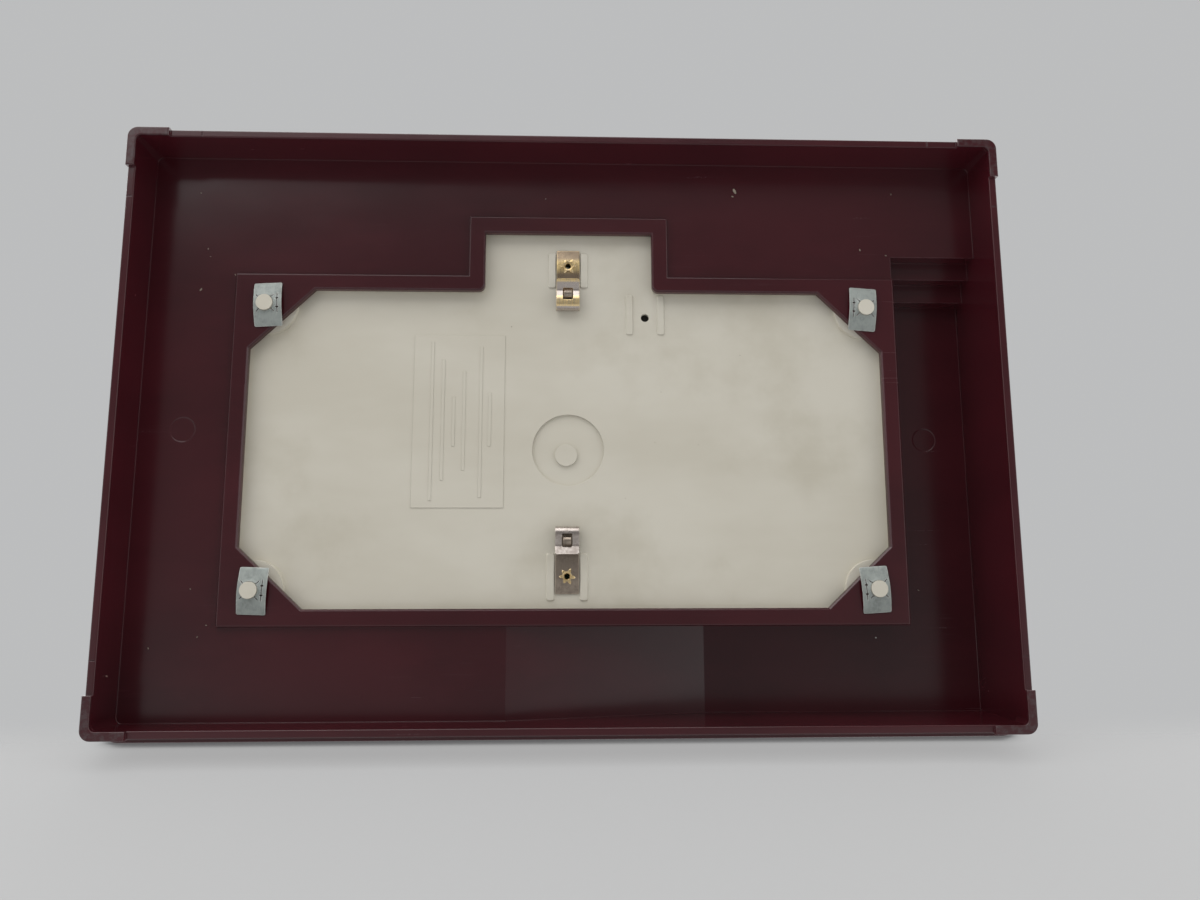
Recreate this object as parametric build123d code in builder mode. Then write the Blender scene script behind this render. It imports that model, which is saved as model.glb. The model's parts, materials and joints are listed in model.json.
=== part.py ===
from build123d import *
import os
from math import cos, radians, tan

# Illuminated toy railway station. Millimetres, +Z up. The origin is at the centre of the base's footprint,
# and z = 0 is at the feet.
# The front, with the bay window, faces -Y. The stairs and the freight dock are at the +X end.

os.makedirs("parts", exist_ok=True)

# Base moulding
base_half_x = 150.3
base_half_y = 101.1
base_corner = 4.5
base_wall = 2.5
plate = 2.4
lip_reach = 3.7
rim_z = 1.4
low_under_z = 17.2
low_top_z = low_under_z + plate
flange_under_z = 15.6
flange_top_z = 18.0
foot_length = 13.8
foot_stand_out = 0.4
witness_from_corner = 24.0

# Building footprint on the base, as the outline of the raised flange
flange_half_x = 117.1
flange_front_y = -55.2
flange_rear_y = 67.7
bay_half_x = 35.5
bay_front_y = -77.4

# Raised dock, its stairs and its ramp
step_rise = 5.8
dock_under_z = low_under_z + 3 * step_rise
dock_top_z = dock_under_z + plate
riser_y = (-63.9, -57.4, -50.6)
ramp_low_x = -20.7
ramp_high_x = 48.7
coping = 1.2

# Building floor
floor_under_z = 20.0
floor_thick = 2.2
floor_top_z = floor_under_z + floor_thick
peg_x = 106.0
peg_y = (-43.8, 55.4)
peg_r = 2.85
peg_length = 5.1
gate_y = 7.0
gate_r = 12.6
boss_r = 10.0
pilot_x = 27.5
pilot_y = -41.2

# Building walls and openings: each opening is (centre along the wall, sill, width, height)
wall_thick = 2.2
wall_fit = 0.3
eave_z = 94.0
window_size = (24.0, 34.0)
window_sill = 44.0
front_window_x = (-92.0, 92.0)
front_door_x = (-54.0, 54.0)
door_size = (24.0, 56.0)
door_sill = 20.6
rear_window_x = (-88.0, -46.0, 8.0)
freight_size = (36.0, 44.0)
freight_sill = 37.4
rear_freight_x = 84.0
end_freight_y = 14.0
left_window_y = (-18.0, 32.0)
right_window_y = -31.0
bay_window_width = 44.0
bay_side_width = 11.0
bay_side_y = -62.6

# Roof
overhang = 13.0
roof_slope = 34.0
fascia = 2.6
course_rise = 3.6
course_lap = 0.7
roof_thick = 2.2
main_courses = 13
bay_courses = 7

# Wire clips under the floor
clip_x = -0.2
clip_width = 8.2
strip = 0.4
clip_length = 23.0
curl_r = 2.2
front_curl_y = -43.0
rear_curl_y = 34.0
eyelet_along = 17.0

# Lamp
lamp_x = 27.5
lamp_y = -20.0
arm_z = 64.0
socket_r = 6.0
socket_bore_r = 5.1
shell_top_z = 76.0
bulb_cap_r = 4.8
globe_r = 5.9


def tee_outline(grow):
    """Draws the building's T-shaped footprint, grown outward from the flange's outline."""
    Polygon(
        (-flange_half_x - grow, flange_front_y - grow),
        (-bay_half_x - grow, flange_front_y - grow),
        (-bay_half_x - grow, bay_front_y - grow),
        (bay_half_x + grow, bay_front_y - grow),
        (bay_half_x + grow, flange_front_y - grow),
        (flange_half_x + grow, flange_front_y - grow),
        (flange_half_x + grow, flange_rear_y + grow),
        (-flange_half_x - grow, flange_rear_y + grow),
        align=None,
    )


def block(low, high, mode=Mode.ADD):
    """Adds or cuts a box given by its two opposite corners."""
    size = [high[i] - low[i] for i in range(3)]
    with Locations(low):
        Box(*size, align=(Align.MIN, Align.MIN, Align.MIN), mode=mode)


def wall_opening(x, sill, width, height, margin=0.0):
    """Draws a rectangle for one opening, its sill at the given height."""
    with Locations((x, sill + height / 2)):
        Rectangle(width + 2 * margin, height + 2 * margin)


def sash(x, sill, width, height, columns, rows, border=2.2, bar=1.2):
    """Draws a glazed frame with bars between its panes."""
    pane_w = (width - 2 * border - (columns - 1) * bar) / columns
    pane_h = (height - 2 * border - (rows - 1) * bar) / rows
    with Locations((x, sill + height / 2)):
        Rectangle(width, height)
        with GridLocations(pane_w + bar, pane_h + bar, columns, rows):
            Rectangle(pane_w, pane_h, mode=Mode.SUBTRACT)


def save(part, name):
    """Labels a part and writes it as one STEP file."""
    part.label = name
    export_step(part, "parts/" + name + ".step")


# 1. Base moulding

foot_z = 3.0
rail_half_x = base_half_x - base_wall
rail_half_y = base_half_y - base_wall

with BuildPart() as base_moulding:
    # Platform slab with its rounded lip
    with BuildSketch(Plane.XY.offset(low_under_z)):
        RectangleRounded(2 * (base_half_x + lip_reach), 2 * (base_half_y + lip_reach), 7.0)
    extrude(amount=plate)
    fillet(base_moulding.edges().group_by(Axis.Z)[0] + base_moulding.edges().group_by(Axis.Z)[-1], 1.0)

    # Raised flange that the building stands on
    with BuildSketch(Plane.XY.offset(flange_under_z)):
        tee_outline(0)
    extrude(amount=flange_top_z - flange_under_z)
    fillet(base_moulding.edges().group_by(Axis.Z)[0], 0.6)

    # Skirt walls down to the rim
    with BuildSketch(Plane.XY.offset(rim_z)):
        RectangleRounded(2 * base_half_x, 2 * base_half_y, base_corner)
        RectangleRounded(2 * rail_half_x, 2 * rail_half_y, 2.0, mode=Mode.SUBTRACT)
    extrude(amount=low_under_z - rim_z + 0.4)
    fillet(base_moulding.edges().group_by(Axis.Z)[0], 0.4)

    # Dock block behind and beside the building, with a rounded outer corner
    dock_left = flange_half_x - plate
    dock_front = flange_rear_y - plate
    with BuildSketch(Plane.XY.offset(low_under_z)) as dock_sketch:
        Polygon(
            (dock_left, riser_y[2] - plate),
            (base_half_x, riser_y[2] - plate),
            (base_half_x, base_half_y),
            (ramp_high_x, base_half_y),
            (ramp_high_x, dock_front),
            (dock_left, dock_front),
            align=None,
        )
        fillet(dock_sketch.vertices().sort_by(Axis((0, 0, 0), (1, 1, 0)))[-1], base_corner)
    extrude(amount=dock_top_z - low_under_z)

    # Coping along the dock's outer edges
    corner_x = base_half_x - base_corner
    corner_y = base_half_y - base_corner
    coping_z = dock_top_z - 2.0
    block((corner_x, riser_y[2] - plate, coping_z), (base_half_x + coping, corner_y, dock_top_z))
    block((ramp_high_x, corner_y, coping_z), (corner_x, base_half_y + coping, dock_top_z))
    with Locations((corner_x, corner_y, coping_z)):
        Cylinder(base_corner + coping, 2.0, align=(Align.CENTER, Align.CENTER, Align.MIN))

    # Ramp rising to the dock along the rear edge
    with BuildSketch(Plane.XZ.offset(-base_half_y)):
        Polygon(
            (ramp_low_x, low_under_z + 0.4),
            (ramp_low_x, low_top_z),
            (ramp_high_x, dock_top_z),
            (ramp_high_x, low_under_z + 0.4),
            align=None,
        )
    extrude(amount=base_half_y - dock_front)

    # Steps
    for index in range(2):
        top = low_top_z + (index + 1) * step_rise
        block((dock_left, riser_y[index] - plate, low_under_z), (base_half_x, riser_y[2], top))

    # Hollow undersides of the steps, the dock and the ramp
    for index in range(3):
        under = low_under_z + (index + 1) * step_rise
        block((flange_half_x, riser_y[index], 8.0), (rail_half_x, riser_y[2] + 1, under), Mode.SUBTRACT)
    block((flange_half_x, riser_y[2], 8.0), (rail_half_x, rail_half_y, dock_under_z), Mode.SUBTRACT)
    block((ramp_high_x, flange_rear_y, 8.0), (rail_half_x, rail_half_y, dock_under_z), Mode.SUBTRACT)
    with BuildSketch(Plane.XZ.offset(-rail_half_y)):
        Polygon(
            (ramp_low_x, 8.0),
            (ramp_low_x, low_under_z),
            (ramp_high_x, dock_under_z),
            (ramp_high_x, 8.0),
            align=None,
        )
    extrude(amount=rail_half_y - flange_rear_y, mode=Mode.SUBTRACT)

    # Recess in the platform's top that locates the building
    with BuildSketch(Plane.XY.offset(flange_top_z)):
        tee_outline(-plate)
    extrude(amount=low_top_z - flange_top_z + 0.4, mode=Mode.SUBTRACT)

    # Access opening with chamfered corners and a bay-shaped tab
    with BuildSketch(Plane.XY.offset(flange_under_z)) as opening:
        Polygon(
            (-29.7, -71.2),
            (29.7, -71.2),
            (29.7, -49.6),
            (89.3, -49.6),
            (111.4, -28.0),
            (111.4, 41.0),
            (89.3, 61.8),
            (-89.3, 61.8),
            (-111.4, 41.0),
            (-111.4, -28.0),
            (-89.3, -49.6),
            (-29.7, -49.6),
            align=None,
        )
        shoulders = [v for v in opening.vertices() if v.Y == -49.6 and abs(v.X) < 30]
        fillet(shoulders, 2.4)
    extrude(amount=4.0, mode=Mode.SUBTRACT)
    rim_edges = base_moulding.edges().filter_by(
        lambda e: abs(e.center().Z - flange_under_z) < 0.01
        and abs(e.center().X) < 111.5
        and -71.3 < e.center().Y < 61.9
    )
    chamfer(rim_edges, 0.5)

    # Peg holes
    with Locations([(x, y, flange_under_z) for x in (-peg_x, peg_x) for y in peg_y]):
        Cylinder(peg_r + 0.3, 12.0, mode=Mode.SUBTRACT)

    # Corner feet
    with BuildSketch():
        reach_x = base_half_x + foot_stand_out
        reach_y = base_half_y + foot_stand_out
        RectangleRounded(2 * reach_x, 2 * reach_y, 3.4)
        RectangleRounded(2 * rail_half_x, 2 * rail_half_y, 1.8, mode=Mode.SUBTRACT)
        with GridLocations(2 * reach_x, 2 * reach_y, 2, 2):
            Rectangle(2 * foot_length, 2 * foot_length, mode=Mode.INTERSECT)
    extrude(amount=foot_z)
    fillet(base_moulding.edges().group_by(Axis.Z)[0], 0.35)

    # Fine witness lines across the rim and round ejector marks on the undersides
    for side in (-1, 1):
        x = side * (base_half_x - witness_from_corner)
        y = side * (base_half_y - witness_from_corner)
        block(
            (x, -base_half_y - 0.1, rim_z - 0.1),
            (x + 0.3, -rail_half_y + 0.1, rim_z + 0.14),
            Mode.SUBTRACT,
        )
        for end in (-1, 1):
            edge_x = end * (base_half_x + rail_half_x) / 2
            with Locations((edge_x, y, rim_z)):
                Box(base_wall + 0.4, 0.3, 0.28, mode=Mode.SUBTRACT)
    with Locations((-132.7, 0.7, low_under_z), (132.7, 0.7, dock_under_z)):
        Cone(4.7, 4.1, 0.24, mode=Mode.SUBTRACT)

    # Plank joints scored in the dock's top
    for index in range(11):
        y = -42.0 + index * 10.0
        block(
            (dock_left + 4, y, dock_top_z - 0.4),
            (base_half_x - 2, y + 0.6, dock_top_z + 1),
            Mode.SUBTRACT,
        )
    for index in range(7):
        x = ramp_high_x + 2 + index * 10.0
        block(
            (x, dock_front + 4, dock_top_z - 0.4),
            (x + 0.6, base_half_y - 2, dock_top_z + 1),
            Mode.SUBTRACT,
        )

save(base_moulding.part, "base_moulding")

# 2. Building floor with its pegs

wall_outer = -plate - wall_fit
wall_inner = wall_outer - wall_thick
label_lines = (
    (-48.5, -31.7, 24.9),
    (-44.6, -25.3, 17.8),
    (-40.8, -11.9, 5.8),
    (-37.2, -21.1, 14.3),
    (-31.3, -29.9, 23.8),
    (-28.1, -13.3, 5.8),
)


def low_rib(x, y, wide, long):
    """Adds a low rib with sloping sides under the floor."""
    with BuildSketch(Plane.XY.offset(floor_under_z)) as rib:
        with Locations((x, y)):
            RectangleRounded(wide, long, 0.9)
    extrude(rib.sketch, amount=-0.5, taper=35)


with BuildPart() as station_floor:
    with BuildSketch(Plane.XY.offset(floor_under_z)):
        tee_outline(wall_inner)
    extrude(amount=floor_thick)
    # Bosses stand on the flange, and the pegs pass through it
    with Locations([(x, y, flange_top_z) for x in (-peg_x, peg_x) for y in peg_y]):
        Cylinder(peg_r, peg_length, align=(Align.CENTER, Align.CENTER, Align.MAX))
    with BuildSketch(Plane.XY.offset(flange_top_z)):
        with Locations([(x, y) for x in (-peg_x, peg_x) for y in peg_y]):
            Circle(boss_r)
        inset = flange_half_x + wall_inner
        Polygon(
            (-inset, flange_front_y - wall_inner),
            (inset, flange_front_y - wall_inner),
            (inset, flange_rear_y + wall_inner),
            (-inset, flange_rear_y + wall_inner),
            align=None, mode=Mode.INTERSECT,
        )
    extrude(amount=floor_under_z - flange_top_z + 0.2)
    # Round gate recess with a central boss
    with BuildSketch(Plane.XY.offset(floor_under_z)):
        with Locations((0, gate_y)):
            Circle(gate_r)
        with Locations((-0.7, gate_y + 1.8)):
            Circle(3.9, mode=Mode.SUBTRACT)
    extrude(amount=0.8, mode=Mode.SUBTRACT)
    # Pilot hole between two low ribs
    with Locations((pilot_x, pilot_y, floor_under_z)):
        Cylinder(1.45, 12.0, mode=Mode.SUBTRACT)
    for x in (pilot_x - 5.6, pilot_x + 5.7):
        low_rib(x, -42.2, 2.8, 15.0)
    # Low ribs along both sides of each terminal
    for x in (clip_x - 5.75, clip_x + 5.75):
        low_rib(x, -58.6, 3.0, 13.4)
        low_rib(x, 51.2, 3.0, 16.4)
    # Plain raised label panel with ruled lines
    block((-54.5, -34.2, floor_under_z - 0.2), (-22.5, 27.4, floor_under_z))
    for x, line_from, line_to in label_lines:
        block((x, line_from, floor_under_z - 0.35), (x + 1.0, line_to, floor_under_z))
    # Eyelet holes
    with Locations((clip_x, front_curl_y - eyelet_along, 21), (clip_x, rear_curl_y + eyelet_along, 21)):
        Cylinder(1.6, 6.0, mode=Mode.SUBTRACT)

save(station_floor.part, "station_floor")

# 3. Push-on retainers: bowed plates that grip the pegs

retainer_w = 9.6
retainer_l = 15.6
retainer_turn = {(-1, 0): -3.0, (1, 0): 4.0, (-1, 1): 2.0, (1, 1): -3.5}
bow_r = 24.0

with BuildPart() as push_on_retainers:
    for (side, row), turn in retainer_turn.items():
        bow_plane = Plane(
            origin=(side * (peg_x - 0.9), peg_y[row] + 0.3, flange_under_z),
            x_dir=Vector(0, 1, 0).rotate(Axis.Z, turn),
            z_dir=Vector(1, 0, 0).rotate(Axis.Z, turn),
        )
        with BuildSketch(bow_plane):
            with Locations((0, bow_r - 1.75)):
                Circle(bow_r)
                Circle(bow_r - 0.5, mode=Mode.SUBTRACT)
            Rectangle(retainer_l, 4.0, align=(Align.CENTER, Align.MAX), mode=Mode.INTERSECT)
        extrude(amount=retainer_w / 2, both=True)
    for side in (-1, 1):
        for row in (0, 1):
            with Locations((side * peg_x, peg_y[row], flange_under_z)):
                Cylinder(peg_r, 10.0, mode=Mode.SUBTRACT)
            with Locations((side * (peg_x - 3.6), peg_y[row], flange_under_z)):
                Box(0.35, 8.0, 10.0, mode=Mode.SUBTRACT)

save(push_on_retainers.part, "push_on_retainers")

# 4-8. Wire clips and their eyelets

# For each terminal: its bend, which way its tail points, and along it the loop, the ends of the slot, and the
# crown, valley and tip of the leaf
clip_sides = {
    "front": (front_curl_y, -1, 5.8, 3.5, 8.2, 4.3, 7.1, 11.3),
    "rear": (rear_curl_y, 1, 5.0, 2.4, 7.1, 3.2, 6.3, 9.6),
}

for side_name, (curl_y, direction, loop_at, slot_from, slot_to, crown, valley, tip) in clip_sides.items():
    side_plane = Plane(
        origin=(clip_x, curl_y, floor_under_z),
        x_dir=(0, direction, 0),
        z_dir=(-direction, 0, 0),
    )

    with BuildPart() as clip_base:
        with BuildSketch(side_plane):
            with Locations((curl_r, 0)):
                Rectangle(clip_length - curl_r, strip, align=(Align.MIN, Align.MIN))
        extrude(amount=clip_width / 2, both=True)
        with BuildSketch(side_plane):
            with Locations((loop_at, strip)):
                Rectangle(3.4, 2.7, align=(Align.CENTER, Align.MIN))
            with Locations((loop_at, 3.1)):
                Circle(1.7)
                Circle(1.3, mode=Mode.SUBTRACT)
            with Locations((loop_at, strip)):
                Rectangle(2.6, 2.7, align=(Align.CENTER, Align.MIN), mode=Mode.SUBTRACT)
        extrude(amount=1.4, both=True)
        with Locations((clip_x, curl_y + direction * eyelet_along, floor_under_z)):
            Cylinder(1.6, 4.0, mode=Mode.SUBTRACT)
    save(clip_base.part, side_name + "_terminal_base")

    with BuildPart() as clip_leaf:
        with BuildSketch(side_plane):
            with Locations((curl_r, curl_r)):
                Circle(curl_r)
                Circle(curl_r - strip, mode=Mode.SUBTRACT)
                Rectangle(2 * curl_r, 6.0, align=(Align.MIN, Align.CENTER), mode=Mode.SUBTRACT)
            Polygon(
                (curl_r, 4.4),
                (crown, 4.4),
                (valley, 3.3),
                (tip, 4.45),
                (tip + 0.11, 4.07),
                (valley, 2.87),
                (crown - 0.08, 4.0),
                (curl_r, 4.0),
                align=None,
            )
        extrude(amount=clip_width / 2, both=True)
        with BuildSketch(side_plane):
            with Locations((slot_from, 1.0)):
                Rectangle(slot_to - slot_from, 5.0, align=(Align.MIN, Align.MIN))
        extrude(amount=1.8, both=True, mode=Mode.SUBTRACT)
    save(clip_leaf.part, side_name + "_terminal_leaf")

eyelet_y = (front_curl_y - eyelet_along, rear_curl_y + eyelet_along)

with BuildPart() as terminal_eyelets:
    for y in eyelet_y:
        with Locations((clip_x, y, floor_under_z - strip)):
            Cylinder(1.6, floor_thick + strip, align=(Align.CENTER, Align.CENTER, Align.MIN))
        with Locations((clip_x, y, floor_top_z)):
            Cylinder(2.7, 0.5, align=(Align.CENTER, Align.CENTER, Align.MIN))
        with BuildSketch(Plane.XY.offset(floor_under_z - strip - 0.4)):
            with Locations((clip_x, y)):
                RegularPolygon(2.6, 3)
                RegularPolygon(2.6, 3, rotation=60)
                Circle(1.75)
        extrude(amount=0.4)
        with Locations((clip_x, y, floor_under_z)):
            Cylinder(1.05, 12.0, mode=Mode.SUBTRACT)

save(terminal_eyelets.part, "terminal_eyelets")

# 9. Building walls

wall_front_y = flange_front_y - wall_outer
wall_rear_y = flange_rear_y + wall_outer
wall_half_x = flange_half_x + wall_outer
bay_wall_x = bay_half_x + wall_outer
bay_wall_y = bay_front_y - wall_outer

front_face = Plane(origin=(0, wall_front_y, 0), x_dir=(1, 0, 0), z_dir=(0, -1, 0))
rear_face = Plane(origin=(0, wall_rear_y, 0), x_dir=(-1, 0, 0), z_dir=(0, 1, 0))
left_face = Plane(origin=(-wall_half_x, 0, 0), x_dir=(0, -1, 0), z_dir=(-1, 0, 0))
right_face = Plane(origin=(wall_half_x, 0, 0), x_dir=(0, 1, 0), z_dir=(1, 0, 0))
bay_face = Plane(origin=(0, bay_wall_y, 0), x_dir=(1, 0, 0), z_dir=(0, -1, 0))
bay_left_face = Plane(origin=(-bay_wall_x, 0, 0), x_dir=(0, -1, 0), z_dir=(-1, 0, 0))
bay_right_face = Plane(origin=(bay_wall_x, 0, 0), x_dir=(0, 1, 0), z_dir=(1, 0, 0))

front_windows_at = [(x, window_sill, *window_size) for x in front_window_x]
front_doors_at = [(x, door_sill, *door_size) for x in front_door_x]
rear_windows_at = [(-x, window_sill, *window_size) for x in rear_window_x]
rear_freight_at = [(-rear_freight_x, freight_sill, *freight_size)]
left_windows_at = [(-y, window_sill, *window_size) for y in left_window_y]
right_windows_at = [(right_window_y, window_sill, *window_size)]
right_freight_at = [(end_freight_y, freight_sill, *freight_size)]
bay_windows_at = [(0, window_sill, bay_window_width, window_size[1])]
bay_left_at = [(-bay_side_y, window_sill, bay_side_width, window_size[1])]
bay_right_at = [(bay_side_y, window_sill, bay_side_width, window_size[1])]

face_openings = [
    (front_face, front_windows_at + front_doors_at),
    (rear_face, rear_windows_at + rear_freight_at),
    (left_face, left_windows_at),
    (right_face, right_windows_at + right_freight_at),
    (bay_face, bay_windows_at),
    (bay_left_face, bay_left_at),
    (bay_right_face, bay_right_at),
]
batten_rows = [
    (front_face, [side * (39 + 8.4 * n) for side in (-1, 1) for n in range(9)]),
    (rear_face, [-109.2 + 8.4 * n for n in range(27)]),
    (left_face, [-58.8 + 8.4 * n for n in range(14)]),
    (right_face, [-46.2 + 8.4 * n for n in range(14)]),
    (bay_face, [-28 + 8 * n for n in range(8)]),
]
batten_low_z = 40.2

with BuildPart() as building_walls:
    with BuildSketch(Plane.XY.offset(flange_top_z)):
        tee_outline(wall_outer)
        with BuildSketch(mode=Mode.PRIVATE) as room:
            tee_outline(wall_inner)
        add(room.sketch, mode=Mode.SUBTRACT)
    extrude(amount=eave_z - flange_top_z)
    # Belt rail above the dock's level
    with BuildSketch(Plane.XY.offset(dock_top_z + 0.6)):
        tee_outline(wall_outer + 0.8)
        add(room.sketch, mode=Mode.SUBTRACT)
    extrude(amount=2.6)
    # Vertical battens, then raised casings round the openings
    for face, positions in batten_rows:
        with BuildSketch(face):
            with Locations([(x, batten_low_z) for x in positions]):
                Rectangle(1.3, eave_z - batten_low_z - 1.0, align=(Align.CENTER, Align.MIN))
        extrude(amount=0.5)
    for face, openings in face_openings:
        with BuildSketch(face):
            for item in openings:
                wall_opening(*item, margin=2.2 if item[2] > 12 else 1.0)
                low_z = dock_top_z if item in rear_freight_at + right_freight_at else floor_top_z
                with Locations((item[0], low_z)):
                    Rectangle(60, 40, align=(Align.CENTER, Align.MAX), mode=Mode.SUBTRACT)
        extrude(amount=0.9)
        with BuildSketch(face.offset(1.2)):
            for item in openings:
                wall_opening(*item)
        extrude(amount=-1.2 - wall_thick, mode=Mode.SUBTRACT)

save(building_walls.part, "building_walls")

# 10-15. Doors and window frames

leaf_depth = 1.4


def frames(groups, columns, rows):
    """Adds window frames set back from the walls' outer faces."""
    for face, items in groups:
        with BuildSketch(face.offset(-0.4)) as outline:
            for item in items:
                sash(*item, columns, rows)
        extrude(outline.sketch, amount=-leaf_depth)


def panel_door(face, item, planks):
    """Adds one door leaf: sunk panels, or upright planks with a cross rail."""
    x, sill, width, height = item
    with BuildSketch(face.offset(-0.4)) as outline:
        wall_opening(*item)
    extrude(outline.sketch, amount=-leaf_depth)
    with BuildSketch(face.offset(-0.4)) as sunk:
        if planks:
            with Locations((x, sill + height / 2)):
                with GridLocations(width / 6, 1, 5, 1):
                    Rectangle(0.6, height - 4)
        else:
            with Locations((x, sill + height * 0.27)):
                with GridLocations(width * 0.46, 1, 2, 1):
                    Rectangle(width * 0.34, height * 0.36)
            with Locations((x, sill + height * 0.74)):
                with GridLocations(width * 0.46, 1, 2, 1):
                    Rectangle(width * 0.34, height * 0.38)
    extrude(sunk.sketch, amount=-0.6, mode=Mode.SUBTRACT)
    if planks:
        with BuildSketch(face.offset(-0.4)) as rails:
            for level in (0.14, 0.5, 0.86):
                with Locations((x, sill + height * level)):
                    Rectangle(width - 2, 3.2)
        extrude(rails.sketch, amount=0.7)
    else:
        with Locations(face.offset(-0.4)):
            with Locations((x + width * 0.40, sill + height * 0.45, 0)):
                Sphere(1.0)


with BuildPart() as front_doors:
    for item in front_doors_at:
        panel_door(front_face, item, planks=False)
save(front_doors.part, "front_doors")

with BuildPart() as freight_doors:
    panel_door(rear_face, rear_freight_at[0], planks=True)
    panel_door(right_face, right_freight_at[0], planks=True)
save(freight_doors.part, "freight_doors")

with BuildPart() as front_windows:
    frames([(front_face, front_windows_at)], 2, 4)
save(front_windows.part, "front_windows")

with BuildPart() as rear_windows:
    frames([(rear_face, rear_windows_at)], 2, 4)
save(rear_windows.part, "rear_windows")

with BuildPart() as end_windows:
    frames([(left_face, left_windows_at), (right_face, right_windows_at)], 2, 4)
save(end_windows.part, "end_windows")

with BuildPart() as bay_windows:
    frames([(bay_face, bay_windows_at)], 4, 4)
    frames([(bay_left_face, bay_left_at), (bay_right_face, bay_right_at)], 1, 4)
save(bay_windows.part, "bay_windows")

# 16-19. Translucent glazing behind the frames

glazing_sets = {
    "front_glazing": [(front_face, front_windows_at)],
    "rear_glazing": [(rear_face, rear_windows_at)],
    "end_glazing": [(left_face, left_windows_at), (right_face, right_windows_at)],
    "bay_glazing": [(bay_face, bay_windows_at), (bay_left_face, bay_left_at), (bay_right_face, bay_right_at)],
}
for glazing_name, groups in glazing_sets.items():
    with BuildPart() as glazing:
        for face, items in groups:
            with BuildSketch(face.offset(-wall_thick)):
                for item in items:
                    wall_opening(*item, margin=1.4)
            extrude(amount=-0.8)
    save(glazing.part, glazing_name)

# 20. Eave brackets on the front and rear walls

bracket_drop = 9.0
bracket_reach = 8.5
bracket_x = [side * (37 + 36.6 * n) for side in (-1, 1) for n in range(3)]

with BuildPart() as eave_brackets:
    for y, outward in ((wall_front_y - 0.5, -1), (wall_rear_y + 0.5, 1)):
        for x in bracket_x:
            corner = (x, y, eave_z - 0.1)
            with BuildSketch(Plane(origin=corner, x_dir=(0, outward, 0), z_dir=(outward, 0, 0))):
                Polygon(
                    (0, 0),
                    (bracket_reach, 0),
                    (bracket_reach, -2),
                    (2, -bracket_drop),
                    (0, -bracket_drop),
                    align=None,
                )
            extrude(amount=1.1, both=True)

save(eave_brackets.part, "eave_brackets")

# 21. Roof: hipped, with a gabled arm over the bay

roof_mid_y = (wall_front_y + wall_rear_y) / 2
roof_half_x = wall_half_x + overhang
roof_half_y = (wall_rear_y - wall_front_y) / 2 + overhang
roof_foot_z = eave_z + fascia
course_run = course_rise / tan(radians(roof_slope))
shell_drop = roof_thick / cos(radians(roof_slope))
soffit_top_z = eave_z + 1.6
inner_start = (soffit_top_z - roof_foot_z + shell_drop) / tan(radians(roof_slope))
bay_arm_x = bay_wall_x + 9.0
bay_arm_y = bay_wall_y - overhang
arm_rear_y = -20.0
arm_mid_y = (bay_arm_y + arm_rear_y) / 2
arm_length = arm_rear_y - bay_arm_y
chimney_x = 46.0
chimney_size = (17.0, 13.0)
board_x = roof_half_x - 6.0
leg_y = (roof_mid_y - 22.0, roof_mid_y + 22.0)


def roof_height(run):
    """Height of the slope's surface at a given run in from the eave."""
    return roof_foot_z + run * tan(radians(roof_slope))


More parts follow.
